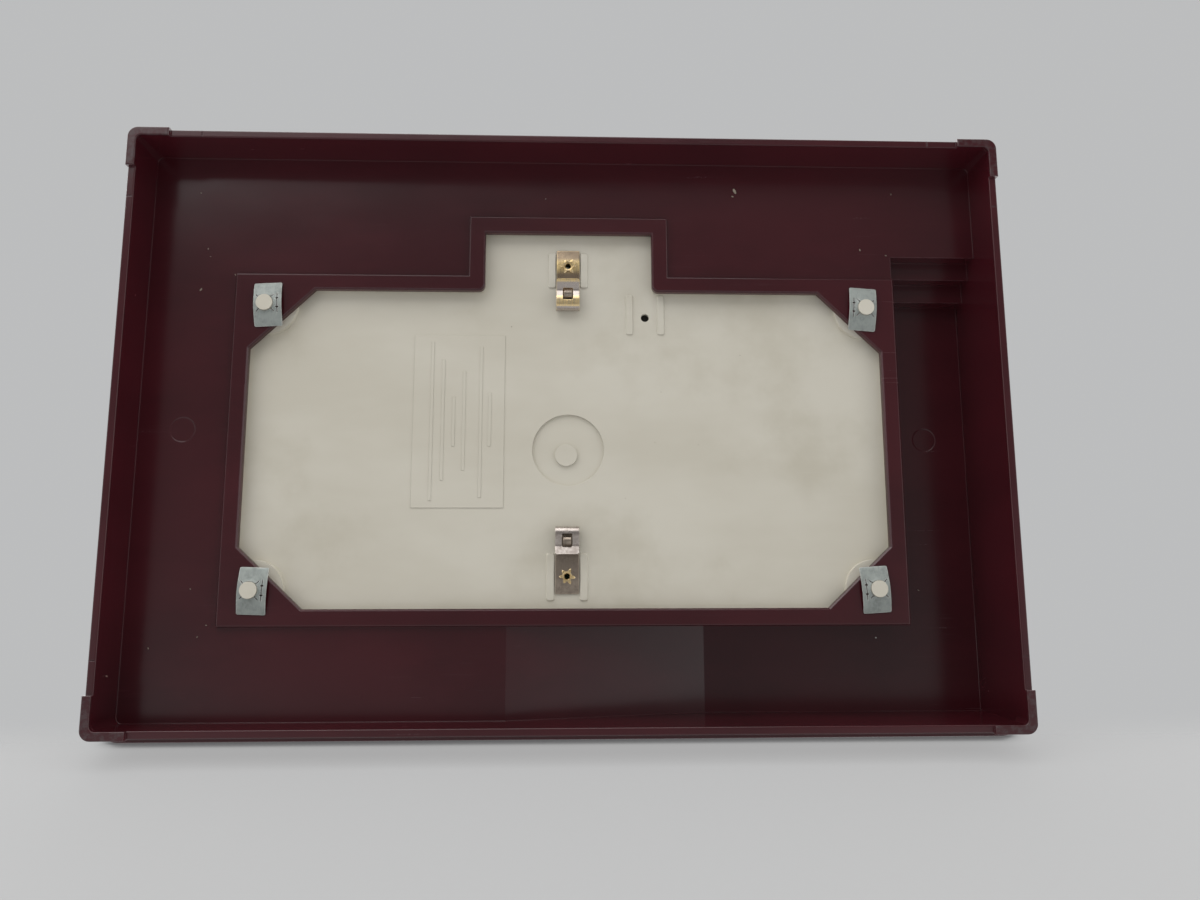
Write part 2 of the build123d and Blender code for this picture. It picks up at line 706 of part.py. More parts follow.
with BuildPart() as roof_moulding:
    # Fascia and soffit
    with BuildSketch(Plane.XY.offset(eave_z)):
        with Locations((0, roof_mid_y)):
            Rectangle(2 * roof_half_x, 2 * roof_half_y)
        with Locations((0, arm_mid_y)):
            Rectangle(2 * bay_arm_x, arm_length)
    extrude(amount=fascia)
    # Courses of shingles, each lapping over the one below
    for index in range(main_courses):
        run = index * course_run
        z = roof_foot_z + index * course_rise
        with BuildSketch(Plane.XY.offset(z)):
            with Locations((0, roof_mid_y)):
                Rectangle(2 * (roof_half_x - run + course_lap / 2), 2 * (roof_half_y - run + course_lap / 2))
        with BuildSketch(Plane.XY.offset(z + course_rise)):
            with Locations((0, roof_mid_y)):
                Rectangle(2 * (roof_half_x - run - course_run), 2 * (roof_half_y - run - course_run))
        loft()
    for index in range(bay_courses + 1):
        run = index * course_run
        next_run = min(run + course_run, bay_arm_x - 0.9)
        with BuildSketch(Plane.XY.offset(roof_height(run))):
            with Locations((0, arm_mid_y)):
                Rectangle(2 * (bay_arm_x - run + course_lap / 2), arm_length)
        with BuildSketch(Plane.XY.offset(roof_height(next_run))):
            with Locations((0, arm_mid_y)):
                Rectangle(2 * (bay_arm_x - next_run), arm_length)
        loft()
    # Hollow inside
    with BuildSketch(Plane.XY.offset(soffit_top_z)):
        with Locations((0, roof_mid_y)):
            Rectangle(2 * (roof_half_x - inner_start), 2 * (roof_half_y - inner_start))
    with BuildSketch(Plane.XY.offset(roof_height(68.0) - shell_drop)):
        with Locations((0, roof_mid_y)):
            Rectangle(2 * (roof_half_x - 68.0), 2 * (roof_half_y - 68.0))
    loft(mode=Mode.SUBTRACT)
    with BuildSketch(Plane.XY.offset(soffit_top_z)):
        with Locations((0, arm_mid_y)):
            Rectangle(2 * (bay_arm_x - inner_start), arm_length - 2 * roof_thick)
    with BuildSketch(Plane.XY.offset(roof_height(38.0) - shell_drop)):
        with Locations((0, arm_mid_y)):
            Rectangle(2 * (bay_arm_x - 38.0), arm_length - 2 * roof_thick)
    loft(mode=Mode.SUBTRACT)
    block((-30.0, -24.0, soffit_top_z), (30.0, -10.0, 110.0), Mode.SUBTRACT)
    # Room opening in the soffit, and the lip that locates the roof in the walls
    with BuildSketch(Plane.XY.offset(eave_z - 3.5)):
        tee_outline(wall_inner - 0.4)
    extrude(amount=3.5)
    with BuildSketch(Plane.XY.offset(eave_z - 3.6)):
        tee_outline(wall_inner - 2.2)
    extrude(amount=6.0, mode=Mode.SUBTRACT)
    # Seat for the gable board, holes for the chimney and for the name boards' legs
    with BuildSketch(Plane.XZ.offset(-bay_arm_y)):
        Polygon((-31.0, 99.0), (31.0, 99.0), (0, 99.0 + 31.0 * tan(radians(roof_slope))), align=None)
    extrude(amount=-1.0, mode=Mode.SUBTRACT)
    with Locations((chimney_x, roof_mid_y, 140.0)):
        Box(*chimney_size, 40.0, mode=Mode.SUBTRACT)
    with Locations([(side * board_x, y, 104.0) for side in (-1, 1) for y in leg_y]):
        Box(1.8, 3.0, 14.0, mode=Mode.SUBTRACT)

save(roof_moulding.part, "roof_moulding")

# 22. Gable board over the bay, with a round blind vent

with BuildPart() as bay_gable:
    with BuildSketch(Plane.XZ.offset(-bay_arm_y)):
        Polygon((-31.0, 99.0), (31.0, 99.0), (0, 99.0 + 31.0 * tan(radians(roof_slope))), align=None)
    extrude(amount=-1.0)
    with BuildSketch(Plane.XZ.offset(-bay_arm_y)):
        with Locations((0, 107.0)):
            Circle(4.2)
            Circle(3.2, mode=Mode.SUBTRACT)
    extrude(amount=0.6)
save(bay_gable.part, "bay_gable")

# 23-24. Chimney and its pot

with BuildPart() as chimney:
    with Locations((chimney_x, roof_mid_y, 0)):
        with Locations((0, 0, 128.0)):
            Box(*chimney_size, 32.0, align=(Align.CENTER, Align.CENTER, Align.MIN))
        with Locations((0, 0, 155.0)):
            Box(19.6, 15.6, 3.0, align=(Align.CENTER, Align.CENTER, Align.MIN))
        with Locations((0, 0, 160.0)):
            Cylinder(2.9, 6.0, mode=Mode.SUBTRACT)
    for index in range(4):
        with BuildSketch(Plane.XY.offset(148.0 + index * 1.9)):
            with Locations((chimney_x, roof_mid_y)):
                Rectangle(18.0, 14.0)
                Rectangle(16.4, 12.4, mode=Mode.SUBTRACT)
        extrude(amount=0.4, mode=Mode.SUBTRACT)
save(chimney.part, "chimney")

with BuildPart() as chimney_pot:
    with Locations((chimney_x, roof_mid_y, 157.0)):
        Cylinder(2.9, 6.4, align=(Align.CENTER, Align.CENTER, Align.MIN))
    with Locations((chimney_x, roof_mid_y, 163.4)):
        Cylinder(3.6, 1.6, align=(Align.CENTER, Align.CENTER, Align.MIN))
    with Locations((chimney_x, roof_mid_y, 159.0)):
        Cylinder(2.0, 8.0, align=(Align.CENTER, Align.CENTER, Align.MIN), mode=Mode.SUBTRACT)
save(chimney_pot.part, "chimney_pot")

# 25-26. Blank name boards and the ridge cap

with BuildPart() as name_boards:
    with Locations([(side * board_x, roof_mid_y, 110.0) for side in (-1, 1)]):
        Box(1.8, 62.0, 11.0)
    with Locations([(side * board_x, y, 101.0) for side in (-1, 1) for y in leg_y]):
        Box(1.8, 3.0, 7.0)
save(name_boards.part, "name_boards")

ridge_z = roof_foot_z + main_courses * course_rise
ridge_half = roof_half_x - main_courses * course_run

with BuildPart() as ridge_cap:
    with Locations((0, roof_mid_y, ridge_z)):
        Box(2 * ridge_half, 4.4, 1.8, align=(Align.CENTER, Align.CENTER, Align.MIN))
    fillet(ridge_cap.edges().group_by(Axis.Z)[-1], 0.9)
    with Locations((chimney_x, roof_mid_y, 140.0)):
        Box(*chimney_size, 40.0, mode=Mode.SUBTRACT)
save(ridge_cap.part, "ridge_cap")

# 27-28. Lamp bracket and its screw

bracket_wide = 8.0
strap = 0.8
post_y = pilot_y + 6.0

with BuildPart() as lamp_bracket:
    with BuildSketch(Plane.YZ.offset(lamp_x)):
        Polygon(
            (pilot_y - 5, floor_top_z),
            (pilot_y - 5, floor_top_z + strap),
            (post_y - strap, floor_top_z + strap),
            (post_y - strap, arm_z + strap),
            (lamp_y, arm_z + strap),
            (lamp_y, arm_z),
            (post_y, arm_z),
            (post_y, floor_top_z),
            align=None,
        )
    extrude(amount=bracket_wide / 2, both=True)
    with Locations((lamp_x, lamp_y, arm_z)):
        Cylinder(8.4, strap, align=(Align.CENTER, Align.CENTER, Align.MIN))
        Cylinder(socket_r, 4.0, mode=Mode.SUBTRACT)
    with Locations((pilot_x, pilot_y, floor_top_z)):
        Cylinder(1.45, 4.0, mode=Mode.SUBTRACT)
save(lamp_bracket.part, "lamp_bracket")

with BuildPart() as bracket_screw:
    with Locations((pilot_x, pilot_y, floor_top_z + strap)):
        Cylinder(2.7, 1.7, align=(Align.CENTER, Align.CENTER, Align.MIN))
    fillet(bracket_screw.edges().group_by(Axis.Z)[-1], 0.8)
    with Locations((pilot_x, pilot_y, floor_under_z + 1.4)):
        Cylinder(1.45, floor_thick + strap - 1.2, align=(Align.CENTER, Align.CENTER, Align.MIN))
    with Locations((pilot_x, pilot_y, floor_top_z + strap + 1.7)):
        Box(6.0, 0.7, 1.6, mode=Mode.SUBTRACT)
save(bracket_screw.part, "bracket_screw")

# 29-32. Socket shell, insulator, contact and spring

shell_low_z = 58.0
pin_z = 67.4

with BuildPart() as socket_shell:
    with Locations((lamp_x, lamp_y, shell_low_z)):
        Cylinder(socket_r, shell_top_z - shell_low_z, align=(Align.CENTER, Align.CENTER, Align.MIN))
    with Locations((lamp_x, lamp_y, arm_z + strap)):
        Cylinder(7.4, 0.8, align=(Align.CENTER, Align.CENTER, Align.MIN))
    with Locations((lamp_x, lamp_y, shell_low_z)):
        Cylinder(socket_bore_r, 60.0, mode=Mode.SUBTRACT)
    # Two bayonet slots, open at the top and hooked at the foot
    for side in (-1, 1):
        across = lamp_x + side * socket_r
        block(
            (across - 3, lamp_y - 1.1, pin_z - 1.1),
            (across + 3, lamp_y + 1.1, shell_top_z + 1),
            Mode.SUBTRACT,
        )
        hook_low = min(side * 1.0, side * 3.6)
        hook_high = max(side * 1.0, side * 3.6)
        block(
            (across - 3, lamp_y + hook_low, pin_z - 1.1),
            (across + 3, lamp_y + hook_high, pin_z + 1.1),
            Mode.SUBTRACT,
        )
save(socket_shell.part, "socket_shell")

with BuildPart() as socket_insulator:
    with Locations((lamp_x, lamp_y, shell_low_z + 0.4)):
        Cylinder(socket_bore_r, 1.8, align=(Align.CENTER, Align.CENTER, Align.MIN))
    with Locations((lamp_x, lamp_y, shell_low_z)):
        Cylinder(1.0, 10.0, mode=Mode.SUBTRACT)
save(socket_insulator.part, "socket_insulator")

with BuildPart() as centre_contact:
    with Locations((lamp_x, lamp_y, shell_low_z - 2.0)):
        Cylinder(1.0, 5.0, align=(Align.CENTER, Align.CENTER, Align.MIN))
    with Locations((lamp_x, lamp_y, shell_low_z + 2.2)):
        Cylinder(1.9, 0.6, align=(Align.CENTER, Align.CENTER, Align.MIN))
save(centre_contact.part, "centre_contact")

spring_low = shell_low_z + 2.55

with BuildPart() as contact_spring:
    with BuildLine():
        Helix(pitch=0.9, height=2.7, radius=3.0, center=(lamp_x, lamp_y, spring_low))
    with BuildSketch(Plane(origin=(lamp_x + 3.0, lamp_y, spring_low), z_dir=(0, 1, 0.05))):
        Circle(0.25)
    sweep(is_frenet=True)
save(contact_spring.part, "contact_spring")

# 33-36. Bulb

bulb_low_z = spring_low + 3.2
cap_top_z = 75.0

with BuildPart() as bulb_cap:
    with Locations((lamp_x, lamp_y, bulb_low_z)):
        Cylinder(bulb_cap_r, cap_top_z - bulb_low_z, align=(Align.CENTER, Align.CENTER, Align.MIN))
    with Locations((lamp_x, lamp_y, bulb_low_z + 1.6)):
        Cylinder(bulb_cap_r - 0.4, 20.0, align=(Align.CENTER, Align.CENTER, Align.MIN), mode=Mode.SUBTRACT)
    with Locations((lamp_x, lamp_y, bulb_low_z)):
        Cylinder(1.6, 6.0, mode=Mode.SUBTRACT)
    for side in (-1, 1):
        with Locations(Location((lamp_x + side * (bulb_cap_r + 0.5), lamp_y, pin_z), (0, 90, 0))):
            Cylinder(0.9, 1.6)
save(bulb_cap.part, "bulb_cap")

with BuildPart() as bulb_contact:
    with Locations((lamp_x, lamp_y, bulb_low_z - 0.1)):
        Cylinder(1.6, 1.7, align=(Align.CENTER, Align.CENTER, Align.MIN))
    fillet(bulb_contact.edges().group_by(Axis.Z)[0], 0.5)
save(bulb_contact.part, "bulb_contact")

neck_r = bulb_cap_r - 0.4
globe_z = 82.0

with BuildPart() as bulb_glass:
    with Locations((lamp_x, lamp_y, 70.0)):
        Cylinder(neck_r, 9.0, align=(Align.CENTER, Align.CENTER, Align.MIN))
    with Locations((lamp_x, lamp_y, globe_z)):
        Sphere(globe_r)
    with Locations((lamp_x, lamp_y, 70.6)):
        Cylinder(neck_r - 0.6, 8.0, align=(Align.CENTER, Align.CENTER, Align.MIN), mode=Mode.SUBTRACT)
    with Locations((lamp_x, lamp_y, globe_z)):
        Sphere(globe_r - 0.6, mode=Mode.SUBTRACT)
save(bulb_glass.part, "bulb_glass")

with BuildPart() as bulb_filament:
    with Locations((lamp_x, lamp_y, 70.6)):
        Cylinder(1.5, 5.0, align=(Align.CENTER, Align.CENTER, Align.MIN))
    with Locations([(lamp_x + side * 1.1, lamp_y, 75.4) for side in (-1, 1)]):
        Cylinder(0.2, 6.8, align=(Align.CENTER, Align.CENTER, Align.MIN))
    with Locations(Location((lamp_x, lamp_y, 82.2), (0, 90, 0))):
        Cylinder(0.3, 2.6)
save(bulb_filament.part, "bulb_filament")

# 37-38. Internal leads, held by their soldered ends and lying on the floor

lead_r = 0.75
lead_rest_z = floor_top_z + lead_r


def lead(points, bend):
    """Sweeps a round lead along a path with rounded corners."""
    with BuildLine() as path:
        FilletPolyline(*points, radius=bend)
    with BuildSketch(Plane(origin=path.line @ 0, z_dir=path.line % 0)) as section:
        Circle(lead_r)
    sweep(section.sketch, path=path.line)


with BuildPart() as front_lead:
    front_start = (clip_x + 2.7, eyelet_y[0], lead_rest_z)
    front_turn = (14.0, eyelet_y[0], lead_rest_z)
    front_return = (14.0, pilot_y, lead_rest_z)
    lead([front_start, front_turn, front_return, (23.5, pilot_y, lead_rest_z)], 4.0)
save(front_lead.part, "front_lead")

with BuildPart() as rear_lead:
    rear_start = (clip_x + 2.7, eyelet_y[1], lead_rest_z)
    rear_turn = (lamp_x, eyelet_y[1], lead_rest_z)
    rear_foot = (lamp_x, lamp_y, lead_rest_z)
    lead([rear_start, rear_turn, rear_foot, (lamp_x, lamp_y, shell_low_z - 2.0)], 6.0)
save(rear_lead.part, "rear_lead")
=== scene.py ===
"""Illuminated toy railway station: finishes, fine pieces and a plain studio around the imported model."""

import json
import logging
import math
import random
from dataclasses import dataclass
from enum import Enum
from typing import Callable, Sequence

import bmesh
import bpy
from mathutils import Matrix, Vector

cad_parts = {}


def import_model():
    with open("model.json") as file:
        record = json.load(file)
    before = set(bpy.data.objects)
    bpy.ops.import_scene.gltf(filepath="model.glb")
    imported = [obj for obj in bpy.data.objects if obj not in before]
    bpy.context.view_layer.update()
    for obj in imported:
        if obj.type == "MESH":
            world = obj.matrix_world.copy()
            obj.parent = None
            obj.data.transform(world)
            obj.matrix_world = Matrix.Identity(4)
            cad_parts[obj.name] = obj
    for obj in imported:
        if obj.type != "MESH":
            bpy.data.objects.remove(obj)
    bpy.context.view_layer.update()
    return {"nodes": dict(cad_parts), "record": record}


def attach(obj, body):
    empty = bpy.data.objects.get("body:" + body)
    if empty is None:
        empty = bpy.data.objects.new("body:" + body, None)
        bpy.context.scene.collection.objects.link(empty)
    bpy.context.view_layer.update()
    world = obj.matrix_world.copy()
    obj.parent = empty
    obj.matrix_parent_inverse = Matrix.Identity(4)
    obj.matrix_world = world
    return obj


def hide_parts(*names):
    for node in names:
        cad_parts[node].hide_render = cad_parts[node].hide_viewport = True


LOG = logging.getLogger("station")
MM = 0.001
Colour = tuple[float, float, float]
Point = tuple[float, float, float]
Flat = tuple[float, float]
Slope = Callable[[float, float, float], Vector]


class Body(Enum):
    """The rigid bodies that pieces ride on."""

    STATION = "station"
    ROOF = "roof"
    BULB = "bulb"
    FRONT_LEAF = "front_clip_leaf"
    REAR_LEAF = "rear_clip_leaf"


# ------------------------------------------------------------------------------
# Node tree helpers and shared effects


@dataclass
class Tree:
    """Short calls that add and join nodes in one node tree.

    Args:
        tree: the node tree that the nodes go in.
    """

    tree: bpy.types.NodeTree

    def add(self, kind: str, **settings: object) -> bpy.types.Node:
        """Adds a node.

        Args:
            kind: the node's type name, without its ShaderNode prefix where it has one.
            settings: properties to set on the node.

        Returns:
            The new node.
        """
        name = kind if kind in ("NodeGroupInput", "NodeGroupOutput") else "ShaderNode" + kind
        node = self.tree.nodes.new(name)
        for key, value in settings.items():
            setattr(node, key, value)
        return node

    def join(self, source: bpy.types.NodeSocket, target: bpy.types.NodeSocket) -> None:
        """Links one socket to another."""
        self.tree.links.new(source, target)

    def feed(self, value: object, target: bpy.types.NodeSocket) -> None:
        """Links a socket, or sets a plain value, on a target socket."""
        if isinstance(value, bpy.types.NodeSocket):
            self.join(value, target)
        else:
            target.default_value = value

    def math(
        self, operation: str, first: object, second: object = 0.0, clamp: bool = False
    ) -> bpy.types.NodeSocket:
        """Adds a Math node.

        Args:
            operation: the node's operation.
            first: a socket or number.
            second: a socket or number.
            clamp: whether the result is kept from 0 to 1.

        Returns:
            The result socket.
        """
        node = self.add("Math", operation=operation, use_clamp=clamp)
        self.feed(first, node.inputs[0])
        self.feed(second, node.inputs[1])
        return node.outputs[0]

    def times(self, first: object, second: object, clamp: bool = False) -> bpy.types.NodeSocket:
        """Multiplies two sockets or numbers."""
        return self.math("MULTIPLY", first, second, clamp)

    def part(self, vector: object, axis: str) -> bpy.types.NodeSocket:
        """Reads the X, Y or Z of a vector socket."""
        node = self.add("SeparateXYZ")
        self.join(vector, node.inputs[0])
        return node.outputs[axis]

    def remap(
        self, value: object, low: float, high: float, out_low: float = 0.0, out_high: float = 1.0
    ) -> bpy.types.NodeSocket:
        """Maps a value from one span to another, clamped, with smooth ends.

        Args:
            value: socket to map.
            low: start of the span read.
            high: end of the span read.
            out_low: result at the start.
            out_high: result at the end.

        Returns:
            The mapped socket.
        """
        node = self.add("MapRange", interpolation_type="SMOOTHSTEP")
        self.feed(value, node.inputs["Value"])
        span = {"From Min": low, "From Max": high, "To Min": out_low, "To Max": out_high}
        for name, number in span.items():
            node.inputs[name].default_value = number
        return node.outputs["Result"]

    def mix(self, factor: object, first: object, second: object) -> bpy.types.NodeSocket:
        """Mixes two colours.

        Args:
            factor: socket or number from 0 to 1.
            first: colour at 0.
            second: colour at 1.

        Returns:
            The mixed colour socket.
        """
        node = self.add("Mix", data_type="RGBA")
        self.feed(factor, node.inputs[0])
        self.feed(rgba(first) if isinstance(first, tuple) else first, node.inputs[6])
        self.feed(rgba(second) if isinstance(second, tuple) else second, node.inputs[7])
        return node.outputs[2]

    def noise(
        self, vector: object, scale: float, detail: float = 3.0, rough: float = 0.55
    ) -> bpy.types.NodeSocket:
        """Adds a noise texture and returns its value socket.

        Args:
            vector: coordinate socket.
            scale: cells for each metre.
            detail: octaves.
            rough: strength of the finer octaves.

        Returns:
            The noise value, from 0 to 1.
        """
        node = self.add("TexNoise")
        self.feed(vector, node.inputs["Vector"])
        node.inputs["Scale"].default_value = scale
        node.inputs["Detail"].default_value = detail
        node.inputs["Roughness"].default_value = rough
        return node.outputs[0]

    def stretch(
        self, vector: object, scale: Point, turn: Point = (0.0, 0.0, 0.0)
    ) -> bpy.types.NodeSocket:
        """Scales and turns a coordinate socket."""
        node = self.add("Mapping")
        self.feed(vector, node.inputs["Vector"])
        node.inputs["Scale"].default_value = scale
        node.inputs["Rotation"].default_value = turn
        return node.outputs[0]

    def relief(
        self, shader: bpy.types.Node, heights: object, distance: float, round_off: float = 0.0
    ) -> None:
        """Gives a shader fine relief, over softened edges where a radius is given.

        Args:
            shader: the shader node.
            heights: socket with the relief's heights.
            distance: size of a height of 1, in metres.
            round_off: radius of the softened edges, in metres.
        """
        bump = self.add("Bump")
        bump.inputs["Distance"].default_value = distance
        self.join(heights, bump.inputs["Height"])
        if round_off > 0:
            bevel = self.add("Bevel", samples=4)
            bevel.inputs["Radius"].default_value = round_off
            self.join(bevel.outputs[0], bump.inputs["Normal"])
        self.join(bump.outputs[0], shader.inputs["Normal"])

    def place(self, group: bpy.types.NodeTree, **values: object) -> bpy.types.Node:
        """Places a shared effect with its own values."""
        node = self.tree.nodes.new("ShaderNodeGroup")
        node.node_tree = group
        for key, value in values.items():
            self.feed(value, node.inputs[key.replace("_", " ").title()])
        return node


def rgba(colour: Sequence[float]) -> tuple[float, float, float, float]:
    """Adds a full alpha to a colour."""
    return (colour[0], colour[1], colour[2], 1.0)


def new_group(
    name: str, inputs: dict[str, float], outputs: Sequence[str]
) -> tuple[bpy.types.NodeTree, Tree, bpy.types.Node, bpy.types.Node]:
    """Starts a shader node group with named number sockets.

    Args:
        name: the group's name.
        inputs: number inputs' names and their defaults, besides the Vector input that every group has.
        outputs: output names.

    Returns:
        The group, its helper, its input node and its output node.
    """
    group = bpy.data.node_groups.new(name, "ShaderNodeTree")
    group.interface.new_socket(name="Vector", in_out="INPUT", socket_type="NodeSocketVector")
    for key, value in inputs.items():
        socket = group.interface.new_socket(name=key, in_out="INPUT", socket_type="NodeSocketFloat")
        socket.default_value = value
    for key in outputs:
        group.interface.new_socket(name=key, in_out="OUTPUT", socket_type="NodeSocketFloat")
    tree = Tree(group)
    return group, tree, tree.add("NodeGroupInput"), tree.add("NodeGroupOutput")


class Effects:
    """The shared surface effects, each a node group that is built once."""

    def __init__(self) -> None:
        """Builds every group."""
        self.flow = self._flow()
        self.specks = self._specks()
        self.scuffs = self._scuffs()
        self.edge = self._edge_and_sheen_group()

    def _flow(self) -> bpy.types.NodeTree:
        """Cloudy variation of moulded plastic: broad flow, fine mottle and slow waviness.

        Returns:
            The node group.
        """
        group, tree, start, end = new_group("MouldFlow", {"Scale": 1.0}, ("Broad", "Fine", "Wave"))
        scaled = tree.add("VectorMath", operation="SCALE")
        tree.join(start.outputs["Vector"], scaled.inputs[0])
        tree.join(start.outputs["Scale"], scaled.inputs["Scale"])
        vector = scaled.outputs[0]
        tree.join(tree.noise(tree.stretch(vector, (1.0, 2.2, 1.0)), 14.0, 4.0), end.inputs["Broad"])
        tree.join(tree.noise(vector, 900.0, 2.0, 0.6), end.inputs["Fine"])
        tree.join(tree.noise(vector, 55.0, 1.0, 0.4), end.inputs["Wave"])
        return group

    def _specks(self) -> bpy.types.NodeTree:
        """Scattered dust specks, each a small blot of its own size.

        Returns:
            The node group.
        """
        numbers = {"Density": 120.0, "Size": 0.10, "Share": 0.25}
        group, tree, start, end = new_group("DustSpecks", numbers, ("Mask",))
        vector = start.outputs["Vector"]
        cells = tree.add("TexVoronoi", feature="F1")
        tree.join(vector, cells.inputs["Vector"])
        tree.join(start.outputs["Density"], cells.inputs["Scale"])
        chance = tree.add("SeparateColor")
        tree.join(cells.outputs["Color"], chance.inputs[0])
        kept = tree.math("LESS_THAN", chance.outputs[0], start.outputs["Share"])
        radius = tree.times(start.outputs["Size"], tree.math("ADD", chance.outputs[1], 0.35))
        blot = tree.math("LESS_THAN", cells.outputs["Distance"], radius)
        tree.join(tree.times(kept, blot), end.inputs["Mask"])
        return group

    def _scuffs(self) -> bpy.types.NodeTree:
        """Fine handling scratches that run in three directions.

        Returns:
            The node group.
        """
        group, tree, start, end = new_group("Scuffs", {"Amount": 0.5}, ("Mask",))
        vector = start.outputs["Vector"]
        total: object = 0.0
        for turn, scale in ((0.4, 570.0), (1.5, 720.0), (2.5, 480.0)):
            along = tree.stretch(vector, (0.05, 1.0, 1.0), (0.3, 0.2, turn))
            lines = tree.noise(along, scale, 2.0, 0.7)
            total = tree.math("MAXIMUM", total, tree.remap(lines, 0.66, 0.74))
        patch = tree.remap(tree.noise(vector, 26.0, 2.0), 0.45, 0.7)
        mask = tree.times(tree.times(total, patch), start.outputs["Amount"])
        tree.join(mask, end.inputs["Mask"])
        return group

    def _edge_and_sheen_group(self) -> bpy.types.NodeTree:
        """Edge abrasion and painted highlight along outer edges, where a rounded normal leaves the flat one
        and nothing is near.

        Returns:
            The node group.
        """
        numbers = {"Breakup": 300.0, "Start": 0.02, "Amount": 1.0}
        group, tree, start, end = new_group("EdgeWearAndSheen", numbers, ("Mask",))
        bevel = tree.add("Bevel", samples=4)
        bevel.inputs["Radius"].default_value = 0.5 * MM
        plain = tree.add("NewGeometry")
        dot = tree.add("VectorMath", operation="DOT_PRODUCT")
        tree.join(bevel.outputs[0], dot.inputs[0])
        tree.join(plain.outputs["Normal"], dot.inputs[1])
        turned = tree.math("SUBTRACT", 1.0, dot.outputs["Value"], clamp=True)
        cells = tree.add("TexNoise")
        tree.join(start.outputs["Vector"], cells.inputs["Vector"])
        tree.join(start.outputs["Breakup"], cells.inputs["Scale"])
        past = tree.math("SUBTRACT", turned, start.outputs["Start"])
        worn_and_sheen = tree.times(past, 6.0, clamp=True)
        shelter = tree.add("AmbientOcclusion", samples=4)
        shelter.inputs["Distance"].default_value = 1.5 * MM
        worn_and_sheen = tree.times(worn_and_sheen, tree.remap(shelter.outputs["AO"], 0.72, 0.95))
        patch = tree.remap(cells.outputs[0], 0.30, 0.56, 0.25, 1.0)
        mask = tree.times(tree.times(worn_and_sheen, patch), start.outputs["Amount"])
        tree.join(mask, end.inputs["Mask"])
        return group


# ------------------------------------------------------------------------------
# Finishes


@dataclass(frozen=True)
class Finish:
    """What every finish holds.

    Args:
        name: material name.
        colour: main colour, linear.
    """

    name: str
    colour: Colour

    def start(self) -> tuple[bpy.types.Material, Tree, bpy.types.Node, bpy.types.NodeSocket]:
        """Makes an empty material with a Principled shader and object coordinates.

        Returns:
            The material, its helper, the shader node and the coordinate socket.
        """
        material = bpy.data.materials.new(self.name)
        material.use_nodes = True
        material.node_tree.nodes.clear()
        tree = Tree(material.node_tree)
        shader = tree.add("BsdfPrincipled")
        output = tree.add("OutputMaterial")
        tree.join(shader.outputs[0], output.inputs["Surface"])
        shader.inputs["Base Color"].default_value = rgba(self.colour)
        return material, tree, shader, tree.add("TexCoord").outputs["Object"]


